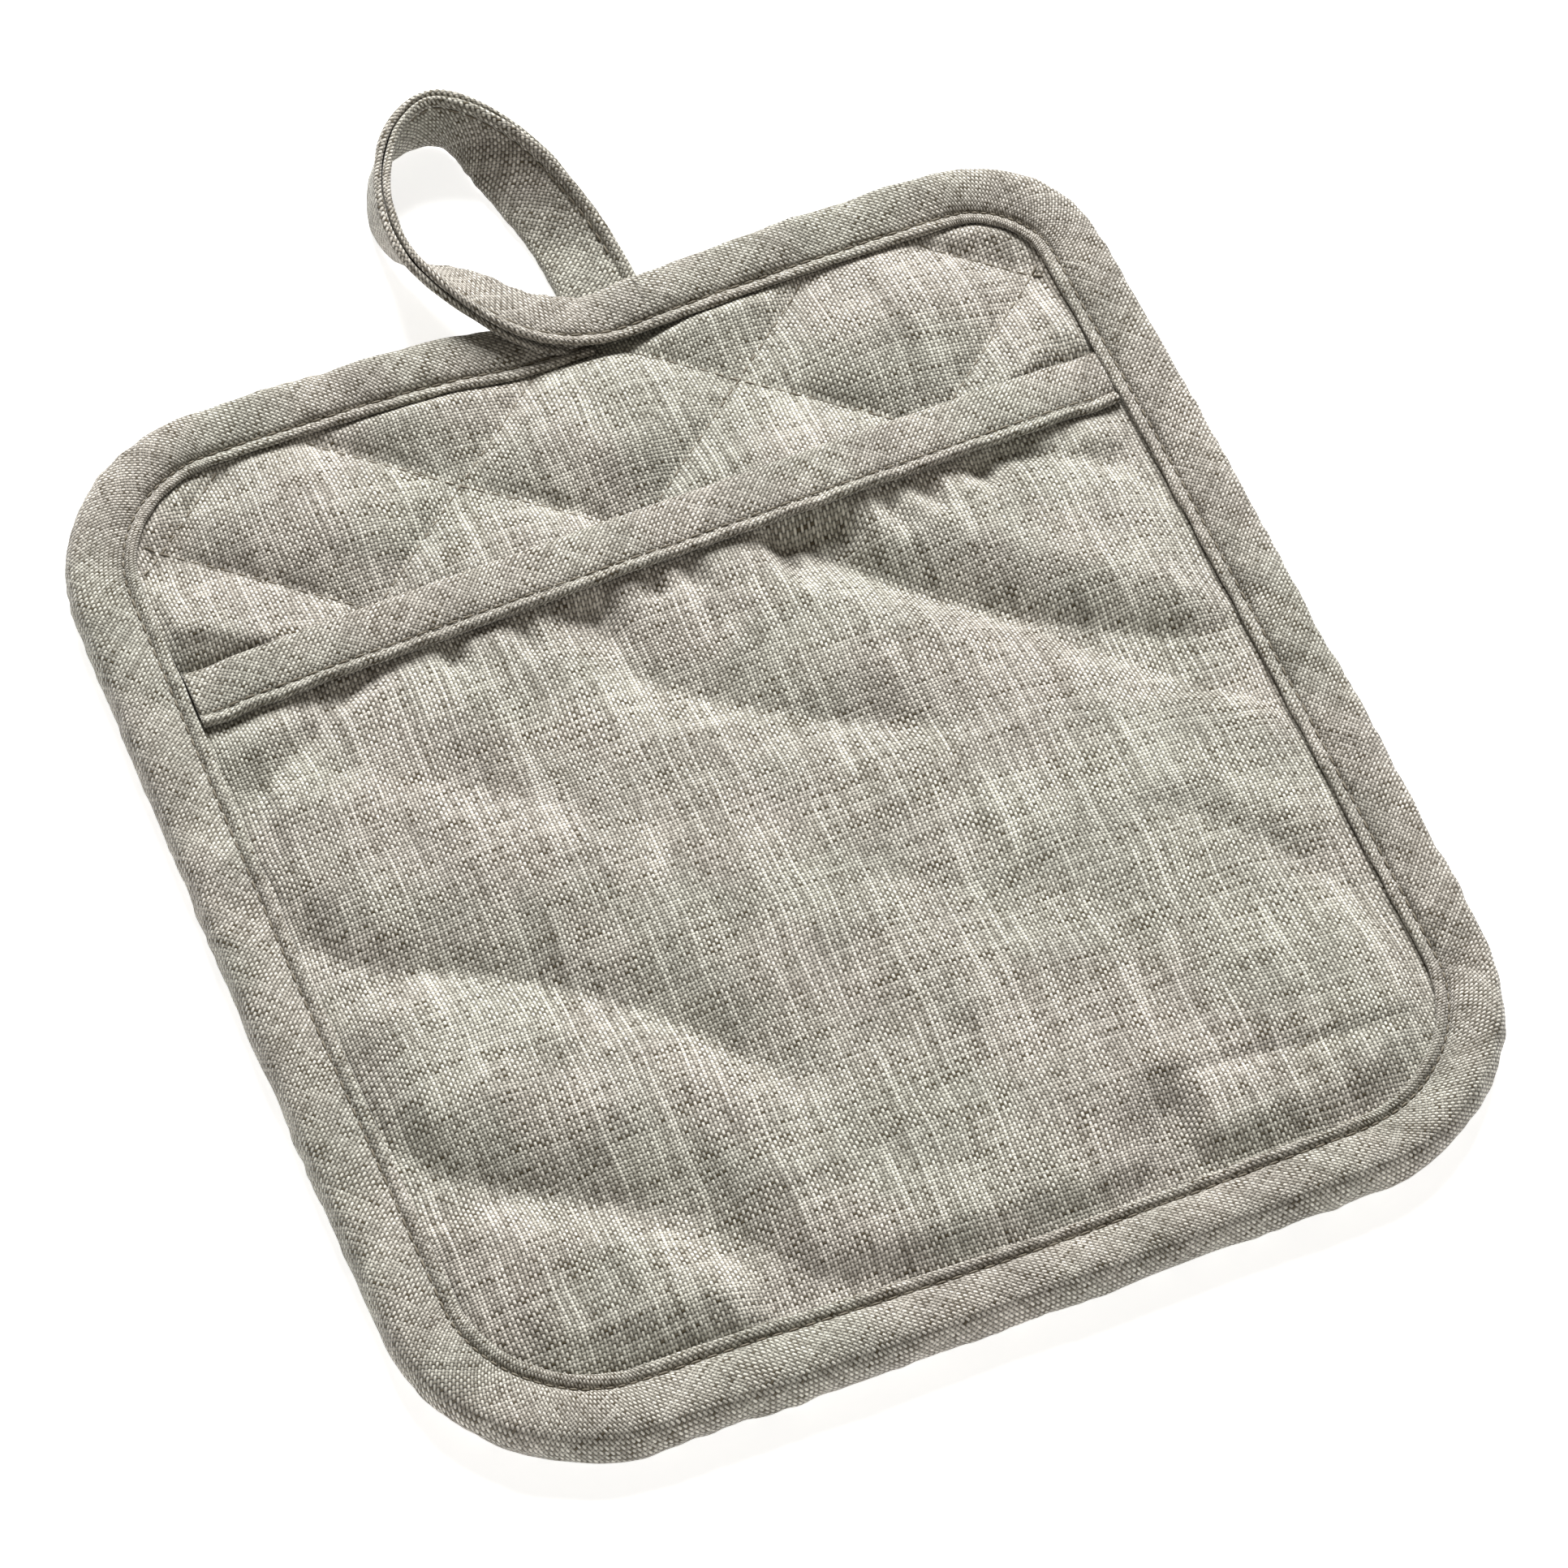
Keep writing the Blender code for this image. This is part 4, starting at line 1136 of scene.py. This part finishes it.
class POTHOLDER_OT_edge_tape(bpy.types.Operator):
    """Add the edge tape, whose end makes the hanging loop, with its stitching"""

    bl_idname = "potholder.edge_tape"
    bl_label = "Add Edge Tape"
    bl_options = {"REGISTER", "UNDO"}

    def execute(self, context):
        grid, rows, outer, leave, x = edge_tape_grid()
        flatten_under_tape(grid, rows, leave, x)
        pucker(grid, rows, outer)
        tape = swept("edge_tape", grid)
        lengths = np.arange(len(grid)) * STATION_STEP
        girth = 0.65 * np.hypot(*np.diff(rows[:, :2], axis=0).T)
        girth += 0.35 * np.hypot(*np.diff(rows[:, 2:], axis=0).T)
        tape_map(tape, lengths, np.concatenate([[0.0], np.cumsum(girth)]))
        face_outwards(tape)
        dressed(tape, tape_material(context), "tape", "edge_binding")
        self.sew(context, grid, rows, outer, leave)
        return {"FINISHED"}

    def sew(self, context, grid, rows, outer, leave):
        """Stitches along the seam groove, on the pad and then on the loop."""
        row = SECTION_STEPS * SEAM_ROW
        mirror = outer - 1 - row
        stations = np.arange(0, len(grid), STATIONS_PER_STITCH) + STATIONS_PER_STITCH // 2
        stations = stations[stations < len(grid)]
        runs = []
        for line, opposite in ((row, mirror), (mirror, row)):
            points = grid[stations, line]
            away = points - grid[stations, opposite]
            away /= np.linalg.norm(away, axis=1)[:, None]
            runs.append((points + away * NEEDLE_DIP, away))
        on_pad = stations < leave - STATIONS_PER_STITCH
        shown = stations < len(grid) - HIDDEN_STATIONS
        on_loop = ~on_pad & shown
        pad_runs = [(line[on_pad], away[on_pad]) for line, away in runs]
        loop_runs = [(line[on_loop], away[on_loop]) for line, away in runs]
        stitched("edge_stitches", pad_runs, context, "binding_stitch")
        stitched("loop_stitches", loop_runs, context, "loop_stitch")


class POTHOLDER_OT_quilting(bpy.types.Operator):
    """Add the quilting stitches, seam by seam"""

    bl_idname = "potholder.quilting"
    bl_label = "Add Quilting Stitches"
    bl_options = {"REGISTER", "UNDO"}

    def execute(self, context):
        for name in sorted(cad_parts):
            if name.startswith("quilt_stitch"):
                self.sew(context, name)
        return {"FINISHED"}

    def sew(self, context, node):
        """One seam's stitches, on the face and on the back."""
        number = int(node[-2:]) - SEAMS_EACH_WAY
        fine = np.linspace(-SEAMS_EACH_WAY, SEAMS_EACH_WAY, 4001)
        fixed = np.full(fine.shape, float(number))
        pair = (fixed, fine) if "left" in node else (fine, fixed)
        x, y = quilt_point(*pair)
        inside = seam_distance(x, y) > LIP_INSET + 0.8 * MM
        line = np.column_stack([x, y, 0 * x])[inside]
        length = np.linalg.norm(line[-1] - line[0])
        line = evenly(line, int(length / STITCH_PITCH) + 1)
        up = np.tile((0.0, 0.0, 1.0), (len(line), 1))
        face = line.copy()
        face[:, 2] = face_height(line[:, 0], line[:, 1]) + STITCH_CLEAR
        back = line.copy()
        back[:, 2] = back_height(line[:, 0], line[:, 1]) - STITCH_CLEAR
        stitched(node + "_run", [(face, up), (back, -up)], context, node)


class POTHOLDER_OT_stage(bpy.types.Operator):
    """Add the floor, the soft lights and the camera"""

    bl_idname = "potholder.stage"
    bl_label = "Add Stage"
    bl_options = {"REGISTER", "UNDO"}

    def execute(self, context):
        stage = context.scene.pot_holder_stage
        bpy.ops.mesh.primitive_plane_add(size=FLOOR_SIZE, location=(0.0, 0.0, 0.0))
        floor = context.active_object
        floor.name = "studio_floor"
        paper = bpy.data.materials.new("studio_paper")
        paper.use_nodes = True
        shader = paper.node_tree.nodes["Principled BSDF"]
        shader.inputs["Base Color"].default_value = (*stage.floor_colour, 1.0)
        shader.inputs["Roughness"].default_value = 1.0
        shader.inputs["Specular IOR Level"].default_value = 0.0
        shader.inputs["Emission Color"].default_value = (1.0, 1.0, 1.0, 1.0)
        shader.inputs["Emission Strength"].default_value = stage.floor_glow
        floor.data.materials.append(paper)
        world = bpy.data.worlds.new("studio_surroundings")
        world.use_nodes = True
        background = world.node_tree.nodes["Background"]
        background.inputs["Color"].default_value = (*stage.fill_colour, 1.0)
        background.inputs["Strength"].default_value = stage.fill_strength
        context.scene.world = world
        self.light(context, "key_light", *KEY_LIGHT, stage.key_power)
        self.light(context, "front_light", *FRONT_LIGHT, stage.front_power)
        self.camera(context)
        context.scene.view_settings.view_transform = "Standard"
        return {"FINISHED"}

    def light(self, context, name, place, size, power):
        """A round lamp that faces the pad's centre."""
        bpy.ops.object.light_add(type="AREA", location=Vector(place) + PAD_CENTRE)
        lamp = context.active_object
        lamp.name = name
        lamp.data.shape = "DISK"
        lamp.data.size = size
        lamp.data.energy = power
        lamp.rotation_euler = Vector(place).to_track_quat("Z", "Y").to_euler()

    def camera(self, context):
        """The camera at the photograph's viewpoint."""
        back = Vector((
            math.sin(CAMERA_AZIMUTH) * math.cos(CAMERA_ELEVATION),
            -math.cos(CAMERA_AZIMUTH) * math.cos(CAMERA_ELEVATION),
            math.sin(CAMERA_ELEVATION),
        ))
        target = CAMERA_TARGET + PAD_CENTRE
        bpy.ops.object.camera_add(location=target + back * CAMERA_DISTANCE)
        camera = context.active_object
        camera.name = "photo_camera"
        camera.rotation_euler = (-back).to_track_quat("-Z", "Y").to_euler()
        camera.data.lens = CAMERA_LENS_MM
        camera.data.sensor_width = SENSOR_MM
        context.scene.camera = camera


class POTHOLDER_PT_panel(bpy.types.Panel):
    """Sizes, colours and buttons of the pot holder"""

    bl_idname = "POTHOLDER_PT_panel"
    bl_label = "Pot Holder"
    bl_space_type = "VIEW_3D"
    bl_region_type = "UI"
    bl_category = "Pot Holder"

    def draw(self, context):
        for name in ("pot_holder_cloth", "pot_holder_sewing", "pot_holder_stage"):
            group = getattr(context.scene, name)
            box = self.layout.box()
            for key in group.bl_rna.properties.keys():
                if key not in ("rna_type", "name"):
                    box.prop(group, key)
        for operator in OPERATORS:
            self.layout.operator(operator.bl_idname)


PROPERTY_GROUPS = {
    "pot_holder_cloth": PotHolderCloth,
    "pot_holder_sewing": PotHolderSewing,
    "pot_holder_stage": PotHolderStage,
}
OPERATORS = (
    POTHOLDER_OT_quilted_pad,
    POTHOLDER_OT_pocket,
    POTHOLDER_OT_pocket_hem,
    POTHOLDER_OT_edge_tape,
    POTHOLDER_OT_quilting,
    POTHOLDER_OT_stage,
)


def register():
    for name, group in PROPERTY_GROUPS.items():
        bpy.utils.register_class(group)
        setattr(bpy.types.Scene, name, PointerProperty(type=group))
    for operator in OPERATORS:
        bpy.utils.register_class(operator)
    bpy.utils.register_class(POTHOLDER_PT_panel)


def unregister():
    bpy.utils.unregister_class(POTHOLDER_PT_panel)
    for operator in reversed(OPERATORS):
        bpy.utils.unregister_class(operator)
    for name, group in PROPERTY_GROUPS.items():
        delattr(bpy.types.Scene, name)
        bpy.utils.unregister_class(group)


def main():
    register()
    bpy.ops.object.select_all(action="DESELECT")
    bpy.ops.potholder.quilted_pad()
    bpy.ops.potholder.pocket()
    bpy.ops.potholder.pocket_hem()
    bpy.ops.potholder.edge_tape()
    bpy.ops.potholder.quilting()
    bpy.ops.potholder.stage()


if __name__ == "__main__":
    main()
